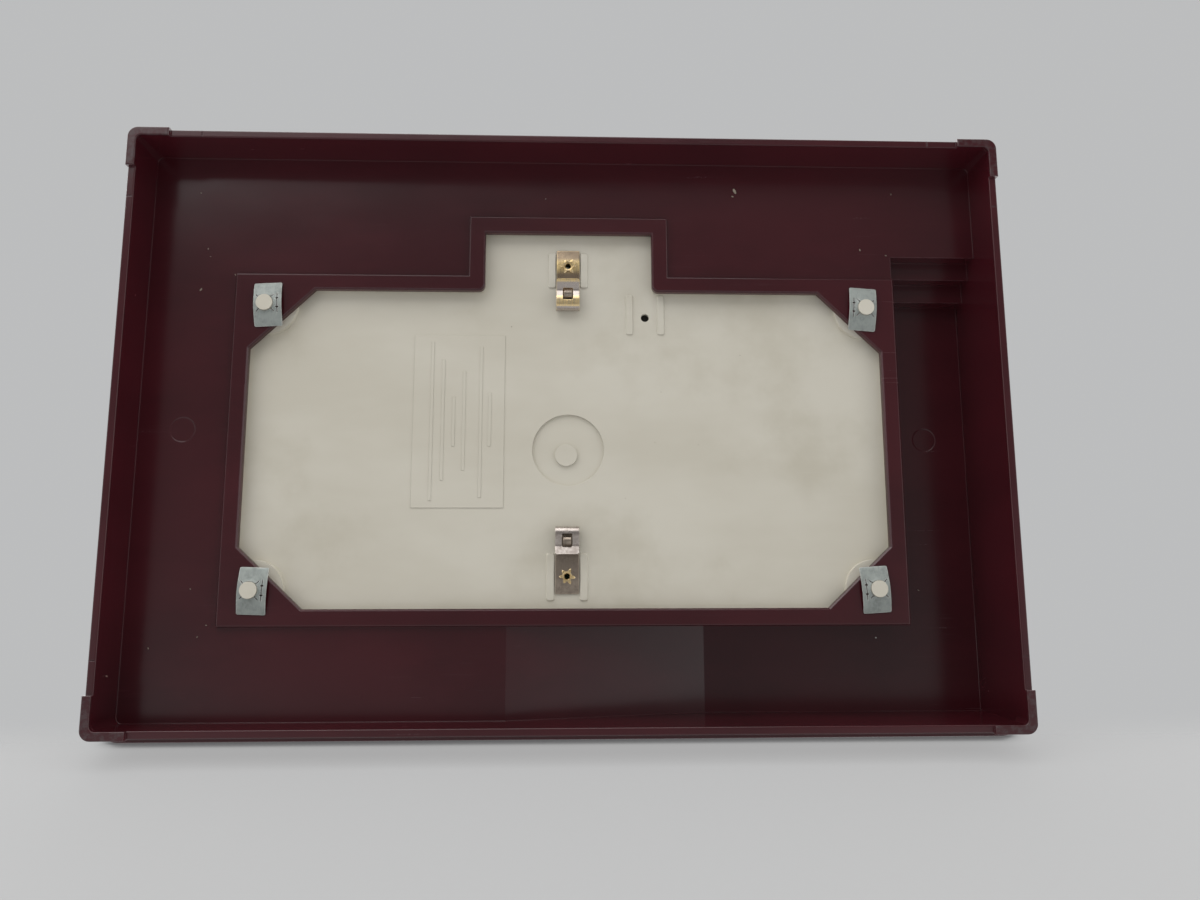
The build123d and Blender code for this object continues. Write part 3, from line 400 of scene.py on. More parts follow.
@dataclass(frozen=True)
class Plastic(Finish):
    """Moulded plastic with flow variation, dust, scuffs and lighter edges, partly abraded and partly a
    painted highlight.

    Args:
        deep: colour of the darker flow.
        worn_and_sheen: colour of scuffs and of the lighter edges, which are partly abrasion and partly a
            painted highlight.
        dust: colour of dust specks.
        rough: base roughness.
        gloss_spread: how much the roughness varies.
        speck_share: share of cells that hold a speck.
        speck_size: size of a speck within its cell.
        speck_density: cells for each metre.
        edge_wear_and_sheen: strength of the lighter edges, partly abrasion and partly a painted highlight.
        ripple: height of the surface's waviness, in metres.
        round_off: radius of softened edges, in metres.
        scuff: strength of the fine scratches.
        stain: colour of stained patches.
        stain_amount: strength of the stains.
        rub_depth: height above the feet up to which the surface is rubbed, in metres.
        rubbed: colour of the rubbed feet.
    """

    deep: Colour = (0.02, 0.02, 0.02)
    worn_and_sheen: Colour = (0.5, 0.5, 0.5)
    dust: Colour = (0.6, 0.58, 0.55)
    rough: float = 0.25
    gloss_spread: float = 0.12
    speck_share: float = 0.1
    speck_size: float = 0.1
    speck_density: float = 130.0
    edge_wear_and_sheen: float = 0.4
    ripple: float = 0.00004
    round_off: float = 0.0004
    scuff: float = 0.5
    stain: Colour = (0.0, 0.0, 0.0)
    stain_amount: float = 0.0
    rub_depth: float = 0.0
    rubbed: Colour = (0.075, 0.055, 0.057)

    def build(self, effects: Effects) -> bpy.types.Material:
        """Builds the material.

        Args:
            effects: the shared node groups.

        Returns:
            The material.
        """
        material, tree, shader, vector = self.start()
        flow = tree.place(effects.flow, vector=vector)
        cells = {"share": self.speck_share, "size": self.speck_size, "density": self.speck_density}
        specks = tree.place(effects.specks, vector=vector, **cells)
        scuffs = tree.place(effects.scuffs, vector=vector, amount=self.scuff)
        edge = tree.place(effects.edge, vector=vector, amount=self.edge_wear_and_sheen)
        broad = tree.remap(flow.outputs["Broad"], 0.3, 0.7)
        tone = tree.mix(broad, self.deep, self.colour)
        if self.stain_amount > 0:
            blot = tree.remap(tree.noise(vector, 20.0, 5.0, 0.6), 0.52, 0.75, 0.0, self.stain_amount)
            tone = tree.mix(blot, tone, self.stain)
        tone = tree.mix(tree.times(scuffs.outputs[0], 0.22), tone, self.worn_and_sheen)
        if self.rub_depth > 0:
            low = tree.remap(tree.part(vector, "Z"), self.rub_depth, 0.0)
            rub = tree.times(low, tree.remap(tree.noise(vector, 420.0, 4.0, 0.7), 0.42, 0.62))
            tone = tree.mix(tree.times(rub, 0.5), tone, self.rubbed)
        # Lighter edges: partly abrasion, partly a painted highlight along the rims.
        tone = tree.mix(edge.outputs[0], tone, self.worn_and_sheen)
        tone = tree.mix(specks.outputs[0], tone, self.dust)
        tree.join(tone, shader.inputs["Base Color"])
        fine = tree.times(tree.math("SUBTRACT", flow.outputs["Fine"], 0.5), self.gloss_spread)
        cloud = tree.times(tree.math("SUBTRACT", flow.outputs["Broad"], 0.5), self.gloss_spread)
        rough = tree.math("ADD", tree.math("ADD", fine, cloud), self.rough)
        scratched = tree.times(scuffs.outputs[0], 0.3)
        marks = tree.math("MAXIMUM", scratched, tree.times(specks.outputs[0], 0.6))
        tree.join(tree.math("ADD", rough, marks, clamp=True), shader.inputs["Roughness"])
        heights = tree.math("ADD", flow.outputs["Wave"], tree.times(flow.outputs["Fine"], 0.06))
        heights = tree.math("ADD", heights, tree.times(specks.outputs[0], 2.0))
        heights = tree.math("SUBTRACT", heights, tree.times(scuffs.outputs[0], 0.12))
        tree.relief(shader, heights, self.ripple, self.round_off)
        return material


@dataclass(frozen=True)
class Metal(Finish):
    """Plated or bare sheet metal with rolling marks and tarnish.

    Args:
        tarnish: colour of the dulled patches.
        rough: base roughness.
        tarnish_amount: how much of the surface is dulled.
        brush: direction scale of the rolling marks.
        round_off: radius of softened edges, in metres.
        spangle: strength of the zinc crystals' pattern.
        edge_wear_and_sheen: strength of the lighter edges, partly abrasion and partly a painted highlight.
        glint: colour of abraded edges and of the painted crown highlight; on the bronzes its gold on the
            edges is partly a painted highlight too.
        crown_highlight: heights where a painted gold highlight over a crown starts and where it is full, in
            metres.
        rolling: depth of the rolling marks, in metres.
    """

    tarnish: Colour = (0.2, 0.2, 0.2)
    rough: float = 0.3
    tarnish_amount: float = 0.5
    brush: Point = (1.0, 0.06, 1.0)
    round_off: float = 0.00012
    spangle: float = 0.0
    edge_wear_and_sheen: float = 0.5
    glint: Colour = (0.85, 0.83, 0.80)
    crown_highlight: Flat = (0.0, 0.0)
    rolling: float = 0.00002

    def build(self, effects: Effects) -> bpy.types.Material:
        """Builds the material.

        Args:
            effects: the shared node groups.

        Returns:
            The material.
        """
        material, tree, shader, vector = self.start()
        shader.inputs["Metallic"].default_value = 1.0
        lines = tree.noise(tree.stretch(vector, self.brush), 2600.0, 3.0, 0.6)
        patch = tree.remap(tree.noise(vector, 330.0, 5.0, 0.65), 0.42, 0.68, 0.0, self.tarnish_amount)
        edge = tree.place(effects.edge, vector=vector, amount=self.edge_wear_and_sheen, breakup=900.0)
        tone = tree.mix(patch, self.colour, self.tarnish)
        tone = tree.mix(tree.remap(lines, 0.35, 0.75, 0.0, 0.3), tone, self.tarnish)
        if self.spangle > 0:
            crystals = tree.add("TexVoronoi", feature="F1")
            tree.join(vector, crystals.inputs["Vector"])
            crystals.inputs["Scale"].default_value = 520.0
            grey = tree.add("SeparateColor")
            tree.join(crystals.outputs["Color"], grey.inputs[0])
            facet = tree.times(grey.outputs[0], self.spangle)
            tone = tree.mix(facet, tone, (0.16, 0.18, 0.19))
        # Painted highlight: a gold band over the crown, colour standing for the reflection of the light.
        if self.crown_highlight[0] > 0:
            crown = tree.remap(tree.part(vector, "Z"), *self.crown_highlight)
            painted_crown_highlight = tree.times(crown, tree.remap(lines, 0.25, 0.6, 0.4, 0.9))
            tone = tree.mix(painted_crown_highlight, tone, self.glint)
        # Edges take the glint colour: abraded metal, and on the bronzes partly a painted gold highlight.
        tone = tree.mix(edge.outputs[0], tone, self.glint)
        tree.join(tone, shader.inputs["Base Color"])
        rough = tree.math("ADD", tree.times(patch, 0.25), self.rough)
        rough = tree.math("ADD", rough, tree.times(lines, 0.12), clamp=True)
        tree.join(rough, shader.inputs["Roughness"])
        tree.relief(shader, lines, self.rolling, self.round_off)
        return material


@dataclass(frozen=True)
class Glass(Finish):
    """Clear or frosted glass and clear plastic sheet.

    Args:
        rough: base roughness.
        clear: share of light that passes.
        smear: how much grime varies the roughness.
        ripple: height of the surface's waviness, in metres.
    """

    rough: float = 0.05
    clear: float = 0.9
    smear: float = 0.1
    ripple: float = 0.00003

    def build(self, effects: Effects) -> bpy.types.Material:
        """Builds the material.

        Args:
            effects: the shared node groups.

        Returns:
            The material.
        """
        material, tree, shader, vector = self.start()
        shader.inputs["Transmission Weight"].default_value = self.clear
        shader.inputs["IOR"].default_value = 1.48
        grime = tree.noise(vector, 160.0, 4.0)
        tone = tree.mix(tree.remap(grime, 0.5, 0.8, 0.0, 0.35), self.colour, (0.45, 0.42, 0.36))
        tree.join(tone, shader.inputs["Base Color"])
        rough = tree.math("ADD", tree.times(grime, self.smear), self.rough, clamp=True)
        tree.join(rough, shader.inputs["Roughness"])
        tree.relief(shader, tree.noise(vector, 420.0, 2.0), self.ripple)
        return material


class Paintbox:
    """Every finish of the station, built once and handed out by name."""

    def __init__(self) -> None:
        """Lists the finishes."""
        self.effects = Effects()
        self.made: dict[str, bpy.types.Material] = {}
        finishes = [
            # The maroon's strong edge setting gives a near-continuous lighter rim line: partly abrasion,
            # partly a painted highlight.
            Plastic(
                "maroon_plastic", (0.048, 0.0058, 0.0092), deep=(0.034, 0.0045, 0.0070),
                worn_and_sheen=(0.15, 0.078, 0.088), rough=0.20, gloss_spread=0.10, speck_share=0.12,
                speck_size=0.036, speck_density=118.0, edge_wear_and_sheen=0.75, ripple=0.00008, scuff=0.28,
                rub_depth=0.0011,
            ),
            Plastic(
                "cream_plastic", (0.66, 0.628, 0.540), deep=(0.60, 0.565, 0.475),
                worn_and_sheen=(0.70, 0.68, 0.61), dust=(0.30, 0.27, 0.22), rough=0.36, gloss_spread=0.12,
                speck_share=0.02, speck_size=0.03, edge_wear_and_sheen=0.12, ripple=0.00006, round_off=0.00025,
                stain=(0.44, 0.40, 0.30), stain_amount=0.35,
            ),
            Plastic(
                "green_plastic", (0.016, 0.085, 0.035), deep=(0.010, 0.060, 0.026),
                worn_and_sheen=(0.12, 0.20, 0.13), rough=0.32, edge_wear_and_sheen=0.3, speck_share=0.01, speck_size=0.03,
            ),
            Plastic(
                "roof_plastic", (0.030, 0.125, 0.055), deep=(0.020, 0.090, 0.040),
                worn_and_sheen=(0.13, 0.24, 0.15), rough=0.42, edge_wear_and_sheen=0.35, ripple=0.00008,
                stain=(0.02, 0.05, 0.025), stain_amount=0.4, speck_share=0.01, speck_size=0.03,
            ),
            Plastic(
                "brick_plastic", (0.215, 0.040, 0.026), deep=(0.160, 0.030, 0.021),
                worn_and_sheen=(0.34, 0.14, 0.10), rough=0.5, edge_wear_and_sheen=0.5, ripple=0.00010, stain=(0.08, 0.03, 0.025),
                stain_amount=0.5, speck_share=0.0,
            ),
            Plastic(
                "dust", (0.40, 0.34, 0.27), deep=(0.25, 0.20, 0.16), worn_and_sheen=(0.5, 0.46, 0.4), rough=0.8,
                edge_wear_and_sheen=0.0, speck_share=0.0,
            ),
            Plastic("fibre", (0.10, 0.045, 0.022), deep=(0.07, 0.03, 0.016), rough=0.6),
            Plastic(
                "black_lead", (0.012, 0.012, 0.013), deep=(0.008, 0.008, 0.009),
                worn_and_sheen=(0.05, 0.05, 0.05), rough=0.5,
            ),
            Plastic(
                "red_lead", (0.22, 0.02, 0.015), deep=(0.16, 0.014, 0.011), worn_and_sheen=(0.3, 0.08, 0.06),
                rough=0.45,
            ),
            Metal(
                "zinc_steel", (0.40, 0.43, 0.41), tarnish=(0.31, 0.335, 0.32), rough=0.56,
                tarnish_amount=0.5, spangle=0.06, edge_wear_and_sheen=0.9,
            ),
            # Front base strip: a painted gold highlight over the crown at the eyelet, and gold edges that
            # are partly painted highlight.
            Metal(
                "bronze_strip", (0.40, 0.31, 0.215), tarnish=(0.25, 0.195, 0.15), rough=0.20,
                tarnish_amount=0.5, edge_wear_and_sheen=0.8, glint=(0.92, 0.70, 0.34), crown_highlight=(0.01925, 0.01900),
            ),
            Metal(
                "bronze_dull", (0.40, 0.335, 0.27), tarnish=(0.20, 0.165, 0.14), rough=0.24,
                tarnish_amount=0.7, edge_wear_and_sheen=0.6, glint=(0.70, 0.58, 0.42),
            ),
            # Rear leaf: a paler copy of the clip's bronze, a painted reflection of the pale surroundings on
            # the tab.
            Metal(
                "bronze_pale_sky_sheen", (0.52, 0.47, 0.435), tarnish=(0.26, 0.215, 0.185), rough=0.20,
                tarnish_amount=0.6, edge_wear_and_sheen=0.6, glint=(0.78, 0.70, 0.60),
            ),
            # Front leaf: a paler copy of the clip's bronze, a painted reflection of the pale surroundings
            # on the tab, with a painted gold highlight over the crown by the loop.
            Metal(
                "bronze_leaf_sky_sheen", (0.55, 0.495, 0.455), tarnish=(0.42, 0.365, 0.335), rough=0.22,
                tarnish_amount=0.4, edge_wear_and_sheen=0.8, glint=(0.92, 0.70, 0.34), crown_highlight=(0.0160, 0.0158),
            ),
            # Near-black screw finish: its dark colour stands for the shade in the screw's hole, painted
            # shade.
            Metal(
                "screw_dark_for_shade", (0.035, 0.033, 0.030), tarnish=(0.02, 0.02, 0.02), rough=0.45, edge_wear_and_sheen=0.2,
            ),
            Metal(
                "brass_parts", (0.78, 0.58, 0.27), tarnish=(0.42, 0.29, 0.13), rough=0.22,
                tarnish_amount=0.35,
            ),
            Metal(
                "steel_parts", (0.55, 0.54, 0.52), tarnish=(0.28, 0.25, 0.22), rough=0.3,
                tarnish_amount=0.5,
            ),
            Metal(
                "solder", (0.62, 0.62, 0.60), tarnish=(0.35, 0.35, 0.34), rough=0.35,
                tarnish_amount=0.4,
            ),
            Metal("tungsten", (0.40, 0.39, 0.38), rough=0.35),
            Glass("clear_plastic", (0.86, 0.83, 0.74), rough=0.45, clear=0.75, smear=0.25),
            Glass("bulb_glass", (0.97, 0.97, 0.95), rough=0.02, clear=1.0, smear=0.05),
        ]
        self.finishes = {finish.name: finish for finish in finishes}

    def get(self, name: str) -> bpy.types.Material:
        """Returns a finish's material, building it on its first use.

        Args:
            name: finish name, the same as the record's material slot.

        Returns:
            The material.
        """
        if name not in self.made:
            self.made[name] = self.finishes[name].build(self.effects)
        return self.made[name]

    def dress(self, item: bpy.types.Object, name: str) -> None:
        """Gives one object a finish in place of all it had."""
        item.data.materials.clear()
        item.data.materials.append(self.get(name))
        LOG.info("%s dressed as %s", item.name, name)


# ------------------------------------------------------------------------------
# Mesh helpers


def link_mesh(name: str, bm: bmesh.types.BMesh, smooth: bool = False) -> bpy.types.Object:
    """Turns a bmesh into an object in the scene.

    Args:
        name: object name.
        bm: the mesh, freed here.
        smooth: whether faces are shaded smooth.

    Returns:
        The object.
    """
    mesh = bpy.data.meshes.new(name)
    bmesh.ops.recalc_face_normals(bm, faces=bm.faces)
    bm.to_mesh(mesh)
    bm.free()
    for face in mesh.polygons:
        face.use_smooth = smooth
    item = bpy.data.objects.new(name, mesh)
    bpy.context.scene.collection.objects.link(item)
    return item


def add_prism(bm: bmesh.types.BMesh, low: Sequence[Vector], high: Sequence[Vector]) -> None:
    """Adds a closed solid between two matching loops of points.

    Args:
        bm: the mesh it is added to.
        low: the first loop.
        high: the second loop, with as many points.
    """
    first = [bm.verts.new(point) for point in low]
    second = [bm.verts.new(point) for point in high]
    bm.faces.new(list(reversed(first)))
    bm.faces.new(second)
    for index in range(len(first)):
        after = (index + 1) % len(first)
        bm.faces.new((first[index], first[after], second[after], second[index]))


def cut_sheet(outline: Sequence[Flat], holes: Sequence[Sequence[Flat]], step: float) -> bmesh.types.BMesh:
    """Fills a flat outline with holes and cuts it into a grid fine enough to bend.

    Args:
        outline: points of the outer edge.
        holes: points of each hole.
        step: spacing of the grid's cuts.

    Returns:
        The flat mesh.
    """
    bm = bmesh.new()
    edges = []
    for loop in [outline, *holes]:
        verts = [bm.verts.new((x, y, 0.0)) for x, y in loop]
        edges += [bm.edges.new((verts[i], verts[(i + 1) % len(verts)])) for i in range(len(verts))]
    bmesh.ops.triangle_fill(bm, edges=edges, use_beauty=True, normal=(0.0, 0.0, 1.0))
    for axis in (0, 1):
        values = [point[axis] for point in outline]
        place = min(values) + step
        while place < max(values) - step * 0.3:
            origin = Vector((place, 0.0, 0.0)) if axis == 0 else Vector((0.0, place, 0.0))
            normal = Vector((1.0, 0.0, 0.0)) if axis == 0 else Vector((0.0, 1.0, 0.0))
            parts = list(bm.verts) + list(bm.edges) + list(bm.faces)
            bmesh.ops.bisect_plane(bm, geom=parts, plane_co=origin, plane_no=normal, dist=step * 0.01)
            place += step
    bmesh.ops.remove_doubles(bm, verts=bm.verts, dist=step * 0.005)
    return bm


def bend_sheet(bm: bmesh.types.BMesh, shape: Callable[[float, float], Vector]) -> None:
    """Moves each point of a flat mesh to where the shape function puts it."""
    for vert in bm.verts:
        vert.co = shape(vert.co.x, vert.co.y)


def give_gauge(item: bpy.types.Object, gauge: float, edge: float) -> None:
    """Gives a bent sheet its thickness and softly sheared edges.

    Args:
        item: the sheet.
        gauge: thickness in metres.
        edge: width of the softened edges in metres.
    """
    thick = item.modifiers.new("gauge", "SOLIDIFY")
    thick.thickness = gauge
    thick.offset = 0.0
    thick.use_even_offset = True
    soft = item.modifiers.new("sheared_edge", "BEVEL")
    soft.width = edge
    soft.segments = 2
    soft.limit_method = "ANGLE"
    soft.angle_limit = math.radians(50.0)


def round_corners(half_x: float, half_y: float, radius: float) -> list[Flat]:
    """Outline of a rectangle with rounded corners."""
    points = []
    for quarter, (side_x, side_y) in enumerate(((1, 1), (-1, 1), (-1, -1), (1, -1))):
        for part in range(4):
            angle = math.radians(90.0 * quarter + 30.0 * part)
            centre_x, centre_y = side_x * (half_x - radius), side_y * (half_y - radius)
            points.append((centre_x + radius * math.cos(angle), centre_y + radius * math.sin(angle)))
    return points


# ------------------------------------------------------------------------------
# Underside pieces


@dataclass
class Retainers:
    """The four bowed push-on plates that grip the floor's pegs.

    Args:
        peg_x: distance of the pegs from the middle.
        peg_y: the pegs' places along Y.
        turns: each plate's turn in degrees, by side and row.
        half_x: half of a plate's width.
        half_y: half of a plate's length.
        bow_radius: radius of the bow.
        crown_z: lowest point of a plate's underside.
        gauge: thickness.
        hole: radius of the peg hole.
        finger: how far the fingers at the hole are pushed out.
        inward: how far a plate's middle is from its peg, towards the model's middle.
        rearward: how far a plate's middle is from its peg, towards the rear.
        slit_at: distance of the side slit from the peg.
    """

    peg_x: float = 106.0 * MM
    peg_y: Flat = (-43.8 * MM, 55.4 * MM)
    turns: tuple[float, float, float, float] = (-3.0, 2.0, 4.0, -3.5)
    half_x: float = 4.8 * MM
    half_y: float = 7.8 * MM
    bow_radius: float = 24.0 * MM
    crown_z: float = 14.1 * MM
    gauge: float = 0.4 * MM
    hole: float = 2.9 * MM
    finger: float = 0.45 * MM
    inward: float = 0.9 * MM
    rearward: float = 0.3 * MM
    slit_at: float = 4.15 * MM

    def _peg_hole(self, at: Flat) -> list[Flat]:
        """Outline of a peg hole with four slits running out of it.

        Args:
            at: the peg's centre in the plate.

        Returns:
            The outline.
        """
        points = []
        for quarter in range(4):
            slit = 45.0 + 90.0 * quarter
            for angle in (slit - 80.0, slit - 62.0, slit - 44.0, slit - 26.0, slit - 8.0):
                turned = math.radians(angle)
                points.append((at[0] + self.hole * math.cos(turned), at[1] + self.hole * math.sin(turned)))
            far = self.hole + 1.5 * MM
            for off, reach in ((-3.0, self.hole), (-1.6, far), (1.6, far), (3.0, self.hole)):
                turned = math.radians(slit + off)
                points.append((at[0] + reach * math.cos(turned), at[1] + reach * math.sin(turned)))
        return points

    def _side_slit(self, x: float, y: float, half: float) -> list[Flat]:
        """Outline of a straight slit with a short cross cut at each end.

        Args:
            x: place across the plate.
            y: place along the plate.
            half: half of its length.

        Returns:
            The outline.
        """
        thin, tick = 0.13 * MM, 0.75 * MM
        side = [(thin, -half), (thin, -half + 1.6 * MM), (tick, -half + 2.1 * MM), (thin, -half + 2.2 * MM)]
        side += [(thin, half - 2.2 * MM), (tick, half - 2.1 * MM), (thin, half - 1.6 * MM), (thin, half)]
        return [(x + a, y + b) for a, b in side] + [(x - a, y + b) for a, b in reversed(side)]

    def _plate(self, side: int, row: int, turn: float) -> bmesh.types.BMesh:
        """Cuts and bows one plate.

        Args:
            side: -1 for the left pair and 1 for the right pair.
            row: 0 for the front pair and 1 for the rear pair.
            turn: the plate's turn in degrees.

        Returns:
            The bent sheet.
        """
        centre = Vector((side * (self.peg_x - self.inward), self.peg_y[row] + self.rearward, 0.0))
        spin = Matrix.Rotation(math.radians(turn), 3, "Z")
        peg = spin.inverted() @ (Vector((side * self.peg_x, self.peg_y[row], 0.0)) - centre)
        outline = round_corners(self.half_x, self.half_y, 0.5 * MM)
        slit = self._side_slit(peg.x - side * self.slit_at, peg.y, 3.5 * MM)
        holes = [self._peg_hole((peg.x, peg.y)), slit]
        bm = cut_sheet(outline, holes, 0.9 * MM)

        def shape(x: float, y: float) -> Vector:
            """Bows the plate along its length and lifts the fingers at the peg."""
            reach = math.hypot(x - peg.x, y - peg.y) - self.hole
            raised = self.finger * math.exp(-max(reach, 0.0) / (0.9 * MM))
            sag = self.bow_radius - math.sqrt(self.bow_radius ** 2 - y * y)
            return centre + spin @ Vector((x, y, self.crown_z + sag - raised))

        bend_sheet(bm, shape)
        return bm

    def build(self, paint: Paintbox) -> None:
        """Builds and dresses the four plates."""
        names = ("front_left", "rear_left", "front_right", "rear_right")
        for index, (side, row) in enumerate(((-1, 0), (-1, 1), (1, 0), (1, 1))):
            plate = self._plate(side, row, self.turns[index])
            item = link_mesh("retainer_" + names[index], plate, smooth=True)
            give_gauge(item, self.gauge, 0.07 * MM)
            paint.dress(item, "zinc_steel")
            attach(item, Body.STATION.value)
        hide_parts("push_on_retainers")


@dataclass
class WireClip:
    """One spring terminal: a crowned base strip with a loop and an eyelet, and its bent leaf.

    Args:
        side: front or rear, as in the CAD nodes' names.
        leaf_body: the body that the leaf rides on.
        bend_y: where the strip bends, along Y.
        direction: which way the strip's tail points along Y.
        loop_at: the loop's place along the strip.
        slot: the slot's ends along the strip.
        crown: where the leaf's top ends.
        valley: the leaf's low point.
        tip: the leaf's end.
        x: middle of the strip.
        seat_z: height of the floor's underside.
        half_width: half of the strip's width.
        gauge: the strip's thickness.
        bend_radius: outer radius of the bend.
        length: the base strip's length.
        eyelet_along: the eyelet's place along the strip.
        eyelet_radius: radius of the eyelet's hole.
        lift: distance from the floor to the middle of the base strip's thickness.
        swell: how much further it stands out at the eyelet.
        base_finish: the base strip's finish.
        leaf_finish: the leaf's finish, a paler copy of the strip's bronze that paints the tab's reflection
            of the pale surroundings.
    """

    side: str
    leaf_body: Body
    bend_y: float
    direction: int
    loop_at: float
    slot: Flat
    crown: float
    valley: float
    tip: float
    x: float = -0.2 * MM
    seat_z: float = 20.0 * MM
    half_width: float = 4.1 * MM
    gauge: float = 0.36 * MM
    bend_radius: float = 2.2 * MM
    length: float = 23.0 * MM
    eyelet_along: float = 17.0 * MM
    eyelet_radius: float = 1.62 * MM
    lift: float = 0.2 * MM
    swell: float = 0.62 * MM
    base_finish: str = "bronze_strip"
    # The leaf's paler finish is a painted reflection of the pale surroundings.
    leaf_finish: str = "bronze_leaf_sky_sheen"

    def _place(self, along: float, across: float, drop: float) -> Vector:
        """Turns a place on the strip into the model's frame."""
        return Vector((self.x + across, self.bend_y + self.direction * along, self.seat_z - drop))

    def _path(self, points: Sequence[Flat]) -> Callable[[float], Flat]:
        """Makes a function that walks along a line of points by length.

        Args:
            points: (along, drop) pairs.

        Returns:
            A function from length to (along, drop).
        """
        lengths = [0.0]
        for before, after in zip(points, points[1:]):
            lengths.append(lengths[-1] + math.dist(before, after))

        def walk(length: float) -> Flat:
            """Finds the point at a length."""
            wanted = min(max(length, 0.0), lengths[-1])
            index = 0
            while index < len(lengths) - 2 and lengths[index + 1] < wanted:
                index += 1
            part = (wanted - lengths[index]) / (lengths[index + 1] - lengths[index])
            return tuple(a + (b - a) * part for a, b in zip(points[index], points[index + 1]))

        walk.total = lengths[-1]
        return walk

    def _sheet(
        self,
        name: str,
        outline: Sequence[Flat],
        holes: Sequence[Sequence[Flat]],
        walk: Callable[[float], Flat],
        step: float,
    ) -> bpy.types.Object:
        """Cuts a sheet and bends it along a path.

        Args:
            name: piece name.
            outline: outline as (across, length) pairs.
            holes: hole outlines in the same pairs.
            walk: the path.
            step: spacing of the bending grid.

        Returns:
            The piece.
        """
        bm = cut_sheet(outline, holes, step)

        def shape(across: float, length: float) -> Vector:
            """Lays a flat point on the path."""
            along, drop = walk(length)
            return self._place(along, across, drop)

        bend_sheet(bm, shape)
        item = link_mesh(name, bm, smooth=True)
        give_gauge(item, self.gauge, 0.06 * MM)
        return item

    def _strip_outline(self, span: float, corner: float) -> list[Flat]:
        """Outline of a full-width strip that starts at a bend and has clipped corners at its end.

        Args:
            span: the strip's length.
            corner: size of the clipped corners.

        Returns:
            The outline.
        """
        width = self.half_width
        tail = [(width, span - corner), (width - corner, span)]
        return [(-width, 0.0), (width, 0.0), *tail, (-width + corner, span), (-width, span - corner)]

    def base(self) -> bpy.types.Object:
        """Builds the base strip, flat under the bend and gently crowned at the eyelet.

        Returns:
            The piece.
        """
        start = self.bend_radius
        points = []
        for index in range(41):
            along = start + (self.length - start) * index / 40.0
            near = (along - self.eyelet_along) / (4.6 * MM)
            points.append((along, self.lift + self.swell * math.exp(-near * near)))
        walk = self._path(points)
        span = walk.total
        middle = self.eyelet_along - start
        radius = self.eyelet_radius
        turns = [math.tau * index / 16 for index in range(16)]
        hole = [(radius * math.cos(turn), middle + radius * math.sin(turn)) for turn in turns]
        outline = self._strip_outline(span, 0.25 * MM)
        return self._sheet(self.side + "_clip_base", outline, [hole], walk, 0.7 * MM)

    def loop(self) -> bpy.types.Object:
        """Builds the raised wire loop that stands through the leaf's slot.

        Returns:
            The piece.
        """
        foot, rise, radius = 0.25 * MM, 3.1 * MM, 1.5 * MM
        points = [(self.loop_at - radius, foot), (self.loop_at - radius, rise)]
        for index in range(1, 14):
            turn = math.pi * index / 14
            points.append((self.loop_at - radius * math.cos(turn), rise + radius * math.sin(turn)))
        points += [(self.loop_at + radius, rise), (self.loop_at + radius, foot)]
        walk = self._path(points)
        width = 1.35 * MM
        outline = [(-width, 0.0), (width, 0.0), (width, walk.total), (-width, walk.total)]
        return self._sheet(self.side + "_clip_loop", outline, [], walk, 0.35 * MM)

    def leaf(self) -> bpy.types.Object:
        """Builds the leaf: round the bend, over the loop, down to the valley and up to the tip.

        Returns:
            The piece.
        """
        radius = self.bend_radius - self.gauge / 2
        centre = (self.bend_radius, self.bend_radius)
        top = centre[1] + radius
        points = []
        for index in range(19):
            turn = math.pi * index / 18
            points.append((centre[0] - radius * math.sin(turn), centre[1] - radius * math.cos(turn)))
        points += [(self.crown - 0.4 * MM, top), (self.crown + 0.3 * MM, top - 0.12 * MM)]
        points += [(self.valley - 0.35 * MM, 3.2 * MM), (self.valley, 3.08 * MM)]
        points += [(self.valley + 0.4 * MM, 3.14 * MM), (self.tip, 4.24 * MM)]
        walk = self._path(points)
        span = walk.total
        outline = self._strip_outline(span, 0.5 * MM)
        arc = math.pi * radius
        slot_low = arc + self.slot[0] - self.bend_radius
        if self.slot[0] < self.bend_radius + 0.3 * MM:
            slot_low = arc + 0.25 * MM
        slot_high = arc + (self.slot[1] - self.bend_radius) * 1.03
        half, clip = 1.8 * MM, 0.3 * MM
        inner, low_side, high_side = half - clip, slot_low + clip, slot_high - clip
        hole = [(-inner, slot_low), (inner, slot_low), (half, low_side), (half, high_side)]
        hole += [(inner, slot_high), (-inner, slot_high), (-half, high_side), (-half, low_side)]
        return self._sheet(self.side + "_clip_leaf", outline, [hole], walk, 0.45 * MM)

